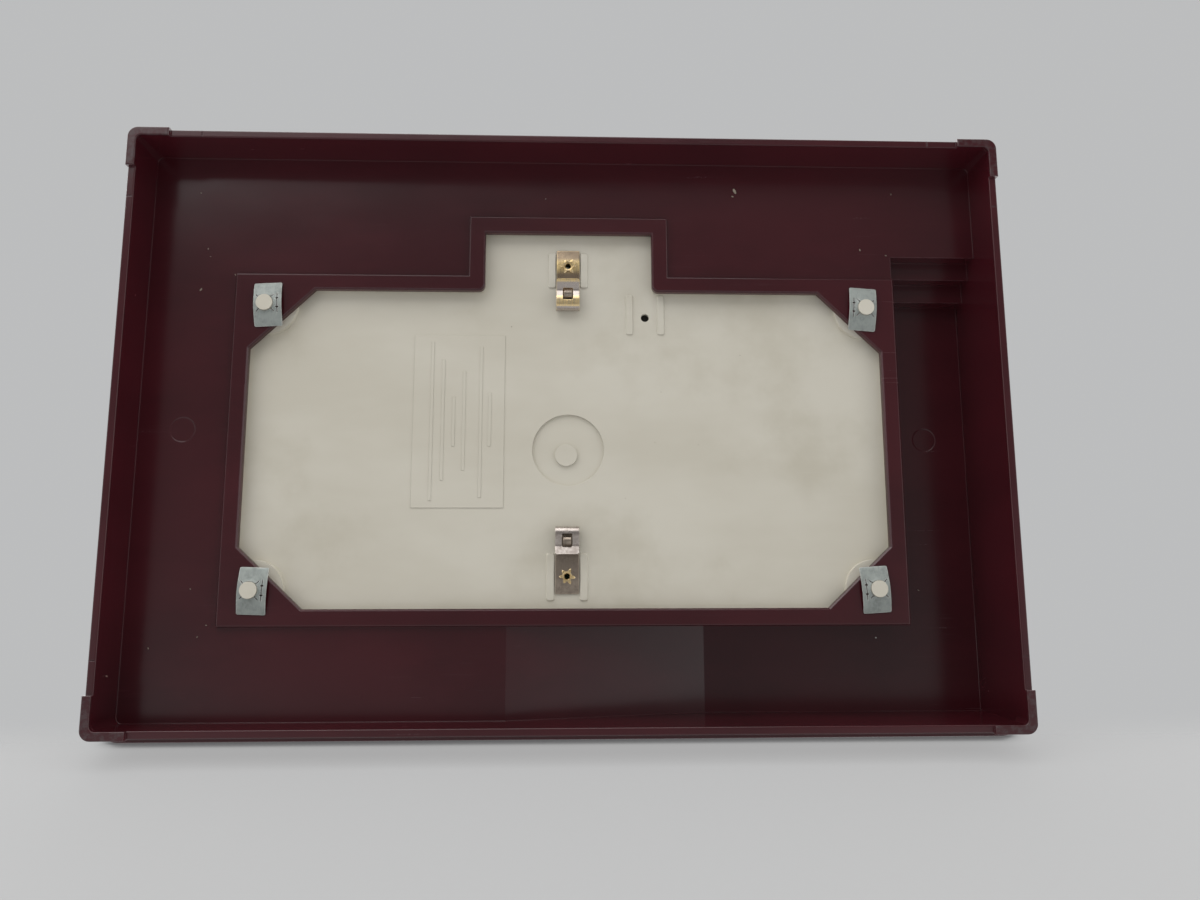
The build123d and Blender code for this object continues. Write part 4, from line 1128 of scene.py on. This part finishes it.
    def petals(self) -> bpy.types.Object:
        """Builds the eyelet's barrel and its petals, rolled back over the base strip.

        Returns:
            The piece.
        """
        bm = bmesh.new()
        rng = random.Random(self.side)
        drop = self.lift + self.swell + self.gauge / 2
        rings = [(0.95, -3.6), (0.95, 0.02), (1.15, 0.26), (1.72, 0.36), (1.62, 0.10), (1.58, 0.0)]
        rings += [(1.58, -3.22), (2.7, -3.22), (2.7, -3.6)]
        sides = 28
        grid = []
        for radius, rise in rings:
            ring = []
            for index in range(sides):
                angle = math.tau * index / sides
                along = self.eyelet_along + radius * MM * math.sin(angle)
                across = radius * MM * math.cos(angle)
                ring.append(bm.verts.new(self._place(along, across, drop + rise * MM)))
            grid.append(ring)
        for number, ring in enumerate(grid):
            after = grid[(number + 1) % len(grid)]
            for index in range(sides):
                turn = (index + 1) % sides
                bm.faces.new((ring[index], ring[turn], after[turn], after[index]))
        for petal in range(6):
            angle = math.tau * (petal + rng.uniform(-0.15, 0.15)) / 6
            reach = rng.uniform(1.0, 1.7) * MM
            thick = 0.20 * MM
            shares = ((0.0, 0.26, 0.62), (0.45, 0.34, 0.52), (0.8, 0.20, 0.30), (1.0, 0.06, 0.10))
            profile = [(1.5 * MM + reach * share, rise * MM, half) for share, rise, half in shares]
            low, high = [], []
            for sign in (-1, 1):
                steps = profile if sign < 0 else list(reversed(profile))
                for out, rise, half in steps:
                    across = out * math.cos(angle) - sign * half * MM * math.sin(angle)
                    along = out * math.sin(angle) + sign * half * MM * math.cos(angle)
                    low.append(self._place(self.eyelet_along + along, across, drop + rise - thick))
                    high.append(self._place(self.eyelet_along + along, across, drop + rise))
            add_prism(bm, low, high)
        return link_mesh(self.side + "_eyelet_petals", bm, smooth=False)

    def build(self, paint: Paintbox) -> None:
        """Builds and dresses the whole clip."""
        base, loop, leaf, petals = self.base(), self.loop(), self.leaf(), self.petals()
        for item, finish in ((base, self.base_finish), (loop, "bronze_dull"), (leaf, self.leaf_finish)):
            paint.dress(item, finish)
        paint.dress(petals, "brass_parts")
        for item in (base, loop, petals):
            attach(item, Body.STATION.value)
        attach(leaf, self.leaf_body.value)
        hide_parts(self.side + "_terminal_base")
        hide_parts(self.side + "_terminal_leaf")
        if self.side == "front":
            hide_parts("terminal_eyelets")


@dataclass
class DustFlakes:
    """Small flakes of dust and lint caught in the hollow underside.

    Args:
        places: each flake's X, Y and Z and its length in millimetres, and its turn in degrees.
    """

    places: Sequence[tuple[float, float, float, float, float]] = (
        (60.6, -88.6, 17.2, 2.6, 70.0), (59.8, -86.6, 17.2, 1.2, 20.0),
        (-131.8, -85.4, 17.2, 0.8, 40.0), (-128.0, -64.5, 17.2, 0.9, 95.0),
        (-127.0, -61.6, 17.2, 0.6, 10.0), (-129.6, -49.4, 17.2, 1.4, 120.0),
        (-117.3, -54.4, 15.6, 0.9, 60.0), (106.0, -66.6, 17.2, 1.2, 80.0),
        (115.5, -64.6, 17.2, 0.8, 15.0), (118.6, -88.2, 17.2, 0.8, 100.0),
        (127.5, 56.0, 34.6, 1.0, 35.0), (-126.5, 55.0, 17.2, 0.7, 55.0),
        (-120.5, 67.0, 17.2, 0.8, 20.0), (-123.2, 70.8, 17.2, 0.9, 140.0),
        (-139.0, 74.4, 17.2, 0.8, 75.0), (-147.3, 82.5, 8.0, 0.7, 30.0),
        (-20.4, -37.6, 20.0, 0.5, 30.0), (33.0, -14.0, 20.0, 0.5, 80.0),
        (20.0, 24.0, 20.0, 0.5, 110.0), (46.0, 5.0, 20.0, 0.4, 0.0),
        (30.6, 4.2, 20.0, 0.4, 20.0),
    )

    def build(self, paint: Paintbox) -> None:
        """Builds and dresses the flakes."""
        bm = bmesh.new()
        rng = random.Random(41)
        for x, y, z, length, turn in self.places:
            spin = Matrix.Rotation(math.radians(turn), 3, "Z")
            low, high = [], []
            for index in range(7):
                angle = math.tau * index / 7
                reach = rng.uniform(0.7, 1.1) * length / 2
                flat = spin @ Vector((reach * math.cos(angle), reach * math.sin(angle) * 0.45, 0.0))
                curl = 0.12 + 0.10 * length * abs(math.cos(angle)) * rng.uniform(0.2, 1.0)
                low.append(Vector((x + flat.x, y + flat.y, z + 0.02)) * MM)
                high.append(Vector((x + flat.x * 0.86, y + flat.y * 0.86, z - curl)) * MM)
            add_prism(bm, low, high)
        item = link_mesh("dust_flakes", bm, smooth=False)
        paint.dress(item, "dust")
        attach(item, Body.STATION.value)


# ------------------------------------------------------------------------------
# Roof pieces


@dataclass(frozen=True)
class Course:
    """The two edges of one course of shingles, or of one shingle, on a slope.

    Args:
        low: ends of the lower edge along the slope.
        high: ends of the upper edge.
        run: inward run of the lower edge from the eaves.
        next_run: inward run of the upper edge.
    """

    low: Flat
    high: Flat
    run: float
    next_run: float


@dataclass
class Shingles:
    """Separate shingles laid over the courses of the main roof and the bay's roof.

    Args:
        half_x: half length of the main roof's eaves.
        half_y: half depth of the main roof's eaves.
        mid_y: the ridge's place along Y.
        foot_z: height of the first course's butt.
        rise: height of a course.
        slope: the roof's slope in degrees.
        courses: number of courses on the main roof.
        bay_half: half width of the bay's roof.
        bay_front: front edge of the bay's roof.
        lap: how far a course's butt stands out.
        wide: mean width of a shingle.
        gap: gap between shingles.
        butt: thickness at a shingle's lower edge.
        tail: thickness at its upper edge.
        sunk: place of its underside, just inside the roof.
        least: narrowest shingle that is laid.
        tuck: how far the bay's courses run under the main roof's.
    """

    half_x: float = 127.4
    half_y: float = 71.75
    mid_y: float = 6.25
    foot_z: float = 96.6
    rise: float = 3.6
    slope: float = 34.0
    courses: int = 13
    bay_half: float = 41.8
    bay_front: float = -87.7
    lap: float = 0.35
    wide: float = 8.6
    gap: float = 0.35
    butt: float = 0.55
    tail: float = 0.12
    sunk: float = -0.05
    least: float = 0.8
    tuck: float = 2.0

    def _slope(self, axis: int, sign: int, half: float, middle: float) -> Slope:
        """Makes the frame of one slope.

        Args:
            axis: 0 when the slope rises along X and 1 when it rises along Y.
            sign: side of the ridge that the slope is on.
            half: distance from the ridge to the eaves.
            middle: what the ridge, or the start of the courses, has as its Y.

        Returns:
            A function that turns (along, run inward, thickness) into a point in millimetres.
        """
        turn = math.radians(self.slope)
        tangent, sine, cosine = math.tan(turn), math.sin(turn), math.cos(turn)

        def point(along: float, inward: float, thick: float) -> Vector:
            """Point of the slope."""
            out = sign * (half - inward + thick * sine)
            height = self.foot_z + inward * tangent + thick * cosine
            if axis == 1:
                return Vector((along, middle + out, height))
            return Vector((out, middle + along, height))

        return point

    def _tile(self, bm: bmesh.types.BMesh, slope: Slope, tile: Course, extra: float) -> None:
        """Adds one shingle between two heights of a slope.

        Args:
            bm: the mesh it is added to.
            slope: the slope's frame.
            tile: the shingle's edges.
            extra: its own extra thickness.
        """
        if tile.low[1] - tile.low[0] < self.least:
            return
        edge = tile.run - self.lap - 0.15
        ends = [(along, edge, self.butt + extra) for along in tile.low]
        ends += [(along, tile.next_run, self.tail) for along in reversed(tile.high)]
        if tile.high[1] - tile.high[0] < 0.05:
            ends = ends[:3]
        under = [slope(along, inward, self.sunk) * MM for along, inward, _ in ends]
        add_prism(bm, under, [slope(*end) * MM for end in ends])

    def _row(
        self, bm: bmesh.types.BMesh, rng: random.Random, slope: Slope, course: Course, skip: float = -1.0
    ) -> None:
        """Lays one course of shingles on a slope.

        Args:
            bm: the mesh.
            rng: the random source.
            slope: the slope's frame.
            course: the course's edges.
            skip: half width of a middle part that is left bare.
        """
        low, high = course.low, course.high
        place = low[0] - rng.uniform(0.0, self.wide)
        while place < low[1]:
            after = place + self.wide * rng.uniform(0.72, 1.28)
            start, end = max(place + self.gap, low[0]), min(after, low[1])
            top = (min(max(start, high[0]), high[1]), max(min(end, high[1]), high[0]))
            extra = rng.uniform(-0.12, 0.12)
            if abs((start + end) / 2) > skip or skip < 0:
                self._tile(bm, slope, Course((start, end), top, course.run, course.next_run), extra)
            place = after

    def build(self, paint: Paintbox) -> None:
        """Lays and dresses every shingle."""
        bm = bmesh.new()
        rng = random.Random(7)
        step = self.rise / math.tan(math.radians(self.slope))
        for index in range(self.courses):
            run, after = index * step, (index + 1) * step
            for sign in (-1, 1):
                skip = self.bay_half - after if sign < 0 else -1.0
                for axis, long, half in ((1, self.half_x, self.half_y), (0, self.half_y, self.half_x)):
                    ends, tops = long - run + self.lap, long - after
                    course = Course((-ends, ends), (-tops, tops), run, after)
                    slope = self._slope(axis, sign, half, self.mid_y)
                    self._row(bm, rng, slope, course, skip if axis == 1 else -1.0)
        valley = self.mid_y - self.half_y + self.tuck
        for index in range(int(self.bay_half / step)):
            run, after = index * step, min((index + 1) * step, self.bay_half - 0.9)
            for sign in (-1, 1):
                low, high = (self.bay_front, valley + run), (self.bay_front, valley + after)
                slope = self._slope(0, sign, self.bay_half, 0.0)
                self._row(bm, rng, slope, Course(low, high, run, after))
        item = link_mesh("roof_shingles", bm, smooth=False)
        paint.dress(item, "roof_plastic")
        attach(item, Body.ROOF.value)


@dataclass
class ChimneyBricks:
    """Brick faces round the chimney's stack, with mortar showing between them.

    Args:
        x: chimney's place along X.
        y: chimney's place along Y.
        half: half size of the stack.
        low: height of the lowest course.
        rise: height of a course.
        courses: number of courses.
        long: length of a brick.
        joint: width of a mortar joint.
        proud: how far bricks stand out.
        least: shortest part of a brick that is laid.
    """

    x: float = 46.0
    y: float = 6.25
    half: Flat = (8.5, 6.5)
    low: float = 131.6
    rise: float = 1.95
    courses: int = 12
    long: float = 4.4
    joint: float = 0.4
    proud: float = 0.3
    least: float = 0.9

    def _brick(self, bm: bmesh.types.BMesh, axis: int, ends: Flat, depths: Flat, z: float) -> None:
        """Adds the face of one brick.

        Args:
            bm: the mesh.
            axis: 0 for a face that runs along X and 1 for one that runs along Y.
            ends: its ends along the face.
            depths: its back and its front, from the stack's middle.
            z: its lower edge.
        """
        top = z + self.rise - self.joint
        layers = []
        for depth in depths:
            layer = []
            for along, up in ((ends[0], z), (ends[1], z), (ends[1], top), (ends[0], top)):
                across = (along, depth) if axis == 0 else (depth, along)
                layer.append(Vector((self.x + across[0], self.y + across[1], up)) * MM)
            layers.append(layer)
        add_prism(bm, *layers)

    def build(self, paint: Paintbox) -> None:
        """Lays and dresses the bricks."""
        bm = bmesh.new()
        rng = random.Random(23)
        for course in range(self.courses):
            z = self.low + course * self.rise
            shift = self.long / 2 if course % 2 else 0.0
            for axis in (0, 1):
                span = self.half[axis] + self.proud
                for side in (-1, 1):
                    place = -span - shift
                    while place < span:
                        start, end = max(place, -span), min(place + self.long, span)
                        place += self.long
                        if end - start < self.least:
                            continue
                        face = self.half[1 - axis]
                        out = self.proud + rng.uniform(-0.06, 0.06)
                        depths = (side * (face - 0.2), side * (face + out))
                        ends = (start + self.joint / 2, end - self.joint / 2)
                        self._brick(bm, axis, ends, depths, z)
        item = link_mesh("chimney_bricks", bm, smooth=False)
        paint.dress(item, "brick_plastic")
        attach(item, Body.ROOF.value)


# ------------------------------------------------------------------------------
# Studio


@dataclass
class Studio:
    """Pale ground, pale table, soft lights and the camera.

    The object is seen from below as it stands on its long rear edge and leans back, so the table
    touches the rear lip.

    Args:
        contact: where the table touches the base's rear lip.
        lean: angle between the table's run and the vertical axis of the model, in degrees.
        table_half: half of the table sheet's side.
        table_tone: colour of the table.
        table_painted_glow: painted light that the table gives off, which fills the station's cast shadow on
            it and is cut back near the contact to paint a contact shadow.
        table_fade: heights at which the table starts to fade and has gone.
        ground_half: half of the ground sheet's side.
        ground_tone: colour of the ground under the upright model.
        ground_fade: distances at which the ground starts to fade and has gone.
        backdrop: colour seen behind everything.
        dark_side: direction of the darkest part of the surroundings.
        room_rear: colour of the surroundings behind the station.
        room_front: colour of the surroundings in front of it.
        room_dark: colour of their darkest part.
        eye: the camera's place.
        look_right: the camera's right direction.
        look_up: the camera's up direction.
        lens: focal length in millimetres.
    """

    contact: Point = (0.0, 0.1049, 0.0184)
    lean: float = 19.5
    table_half: float = 1.6
    table_tone: Colour = (0.13, 0.132, 0.134)
    table_painted_glow: float = 0.385
    table_fade: Flat = (0.010, 0.036)
    ground_half: float = 2.4
    ground_tone: Colour = (0.30, 0.303, 0.306)
    ground_fade: Flat = (0.6, 1.7)
    backdrop: Colour = (0.505, 0.51, 0.515)
    dark_side: Point = (0.0, -0.42, -0.907)
    room_rear: Colour = (1.18, 1.185, 1.19)
    room_front: Colour = (1.72, 1.71, 1.69)
    room_dark: Colour = (0.24, 0.235, 0.235)
    eye: Point = (0.00042, 0.05465, -0.29315)
    look_right: Point = (0.99941491, 0.00210036, -0.03413841)
    look_up: Point = (-0.00306157, -0.98861245, -0.15045285)
    lens: float = 27.03

    def build(self) -> None:
        """Builds the whole studio."""
        self.table()
        self.ground()
        self.world()
        self.lights()
        self.camera()

    def _sheet(self, name: str, centre: Point, along: Vector, half: float) -> bpy.types.Object:
        """Makes one square sheet that runs along X and along a given direction.

        Args:
            name: object name.
            centre: middle of the sheet.
            along: unit vector of the second side.
            half: half of the side's length.

        Returns:
            The sheet.
        """
        mesh = bpy.data.meshes.new(name)
        middle = Vector(centre)
        right = Vector((1.0, 0.0, 0.0))
        signs = ((-1, -1), (1, -1), (1, 1), (-1, 1))
        corners = [middle + right * (half * a) + along * (half * b) for a, b in signs]
        mesh.from_pydata(corners, [], [(0, 1, 2, 3)])
        item = bpy.data.objects.new(name, mesh)
        bpy.context.scene.collection.objects.link(item)
        return item

    def _paper(
        self, name: str, tone: Colour, painted_glow: float, by_height: bool, fade: Flat
    ) -> bpy.types.Material:
        """Pale paper that shows from one side only and fades out.

        Args:
            name: material name.
            tone: colour of the paper.
            painted_glow: painted light given off by the paper, which fills cast shadows on it and is cut
                back where something touches it, to paint a contact shadow.
            by_height: whether it fades with height, and not with the distance from the model.
            fade: where the fade starts and where the paper has gone, in metres.

        Returns:
            The material.
        """
        material = bpy.data.materials.new(name)
        material.use_nodes = True
        material.node_tree.nodes.clear()
        tree = Tree(material.node_tree)
        shader = tree.add("BsdfDiffuse")
        place = tree.add("NewGeometry")
        grain = tree.noise(place.outputs["Position"], 400.0, 3.0)
        shade = tuple(part * 0.9 for part in tone)
        tree.join(tree.mix(tree.remap(grain, 0.3, 0.7, 0.0, 0.15), tone, shade), shader.inputs["Color"])
        lit = shader
        # Painted light: the paper gives off light that fills the cast shadow on it, and ambient occlusion
        # cuts it back near the contact to paint a contact shadow.
        if painted_glow > 0:
            lit = tree.add("AddShader")
            light = tree.add("Emission")
            light.inputs["Color"].default_value = (1.0, 1.0, 1.0, 1.0)
            contact_shade = tree.add("AmbientOcclusion", samples=8)
            contact_shade.inputs["Distance"].default_value = 5.0 * MM
            tree.join(tree.remap(contact_shade.outputs["AO"], 0.42, 0.95, 0.0, painted_glow), light.inputs["Strength"])
            tree.join(shader.outputs[0], lit.inputs[0])
            tree.join(light.outputs[0], lit.inputs[1])
        if by_height:
            distance = tree.part(place.outputs["Position"], "Z")
        else:
            length = tree.add("VectorMath", operation="LENGTH")
            tree.join(place.outputs["Position"], length.inputs[0])
            distance = length.outputs["Value"]
        hidden = tree.math("MAXIMUM", tree.remap(distance, *fade), place.outputs["Backfacing"])
        clear = tree.add("BsdfTransparent")
        blend = tree.add("MixShader")
        tree.join(hidden, blend.inputs[0])
        tree.join(lit.outputs[0], blend.inputs[1])
        tree.join(clear.outputs[0], blend.inputs[2])
        tree.join(blend.outputs[0], tree.add("OutputMaterial").inputs["Surface"])
        return material

    def table(self) -> None:
        """The table that the leaning station stands on, with painted light of its own and a painted contact
        shadow.
        """
        angle = math.radians(self.lean)
        away = Vector((0.0, -math.sin(angle), math.cos(angle)))
        sheet = self._sheet("stage_table", self.contact, away, self.table_half)
        if sheet.data.polygons[0].normal.y > 0:
            sheet.data.flip_normals()
        paper = self._paper("pale_table", self.table_tone, self.table_painted_glow, True, self.table_fade)
        sheet.data.materials.append(paper)
        sheet.visible_shadow = False

    def ground(self) -> None:
        """The ground under the upright station, seen from above only."""
        centre, along = (0.0, 0.0, -0.2 * MM), Vector((0.0, 1.0, 0.0))
        sheet = self._sheet("stage_ground", centre, along, self.ground_half)
        paper = self._paper("pale_ground", self.ground_tone, 0.0, False, self.ground_fade)
        sheet.data.materials.append(paper)
        sheet.visible_shadow = False
        sheet.visible_diffuse = False
        sheet.visible_glossy = False
        sheet.visible_transmission = False

    def world(self) -> None:
        """Pale surroundings, darker behind the viewer of the underside, as a plain room is."""
        world = bpy.data.worlds.new("pale_room")
        world.use_nodes = True
        world.node_tree.nodes.clear()
        tree = Tree(world.node_tree)
        sky = tree.add("TexCoord")
        facing = tree.add("VectorMath", operation="DOT_PRODUCT")
        tree.join(sky.outputs["Generated"], facing.inputs[0])
        facing.inputs[1].default_value = self.dark_side
        front = tree.remap(tree.part(sky.outputs["Generated"], "Y"), 0.3, -0.9)
        lit = tree.mix(front, self.room_rear, self.room_front)
        lit = tree.mix(tree.remap(facing.outputs["Value"], 0.52, 0.90), lit, self.room_dark)
        backdrop = tree.add("Background")
        backdrop.inputs["Color"].default_value = rgba(self.backdrop)
        room = tree.add("Background")
        tree.join(lit, room.inputs["Color"])
        blend = tree.add("MixShader")
        tree.join(tree.add("LightPath").outputs["Is Camera Ray"], blend.inputs[0])
        tree.join(room.outputs[0], blend.inputs[1])
        tree.join(backdrop.outputs[0], blend.inputs[2])
        tree.join(blend.outputs[0], tree.add("OutputWorld").inputs["Surface"])
        bpy.context.scene.world = world
        bpy.context.scene.view_settings.view_transform = "Standard"

    def lights(self) -> None:
        """Soft panels: one over the leaning station, and two over the upright station."""
        panels = (
            ("panel_over", (-0.22, -0.92, -0.52), (0.0, 0.0, 0.0), 1.1, 6.0),
            ("panel_high", (-0.45, -0.55, 1.15), (0.0, 0.0, 0.05), 0.8, 5.0),
            ("panel_rear", (0.65, 0.85, 0.80), (0.0, 0.0, 0.05), 0.8, 4.0),
        )
        for name, place, aim, size, power in panels:
            light = bpy.data.lights.new(name, "AREA")
            light.shape = "SQUARE"
            light.size = size
            light.energy = power
            item = bpy.data.objects.new(name, light)
            item.location = place
            item.rotation_euler = (Vector(aim) - Vector(place)).to_track_quat("-Z", "Y").to_euler()
            bpy.context.scene.collection.objects.link(item)

    def camera(self) -> None:
        """The camera, looking up into the underside from near the table."""
        right, up = Vector(self.look_right), Vector(self.look_up)
        back = right.cross(up)
        camera = bpy.data.cameras.new("camera")
        camera.lens = self.lens
        camera.sensor_width = 36.0
        camera.clip_start = 0.01
        item = bpy.data.objects.new("camera", camera)
        item.matrix_world = Matrix.Translation(self.eye) @ Matrix((right, up, back)).transposed().to_4x4()
        bpy.context.scene.collection.objects.link(item)
        bpy.context.scene.camera = item


def main() -> None:
    """Dresses the model, builds the fine pieces and the studio."""
    logging.basicConfig(level=logging.INFO, format="%(message)s")
    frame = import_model()
    paint = Paintbox()
    slots = {item["node"]: item["material_slot"] for item in frame["record"]["subparts"]}
    # The bracket screw is made near black so that its hole reads dark: painted shade.
    slots["bracket_screw"] = "screw_dark_for_shade"
    for node, item in frame["nodes"].items():
        paint.dress(item, slots[node])
    clips = (
        WireClip(
            "front", Body.FRONT_LEAF, bend_y=-43.0 * MM, direction=-1, loop_at=5.8 * MM,
            slot=(3.5 * MM, 8.2 * MM), crown=4.3 * MM, valley=7.1 * MM, tip=11.3 * MM,
        ),
        # The rear leaf's paler finish is a painted reflection; the rear strip has no painted crown
        # highlight.
        WireClip(
            "rear", Body.REAR_LEAF, bend_y=34.0 * MM, direction=1, loop_at=5.0 * MM,
            slot=(2.4 * MM, 7.1 * MM), crown=3.2 * MM, valley=6.3 * MM, tip=9.6 * MM,
            base_finish="bronze_dull", leaf_finish="bronze_pale_sky_sheen",
        ),
    )
    for piece in (Retainers(), *clips, DustFlakes(), Shingles(), ChimneyBricks()):
        piece.build(paint)
        LOG.info("%s built", type(piece).__name__)
    Studio().build()


if __name__ == "__main__":
    main()
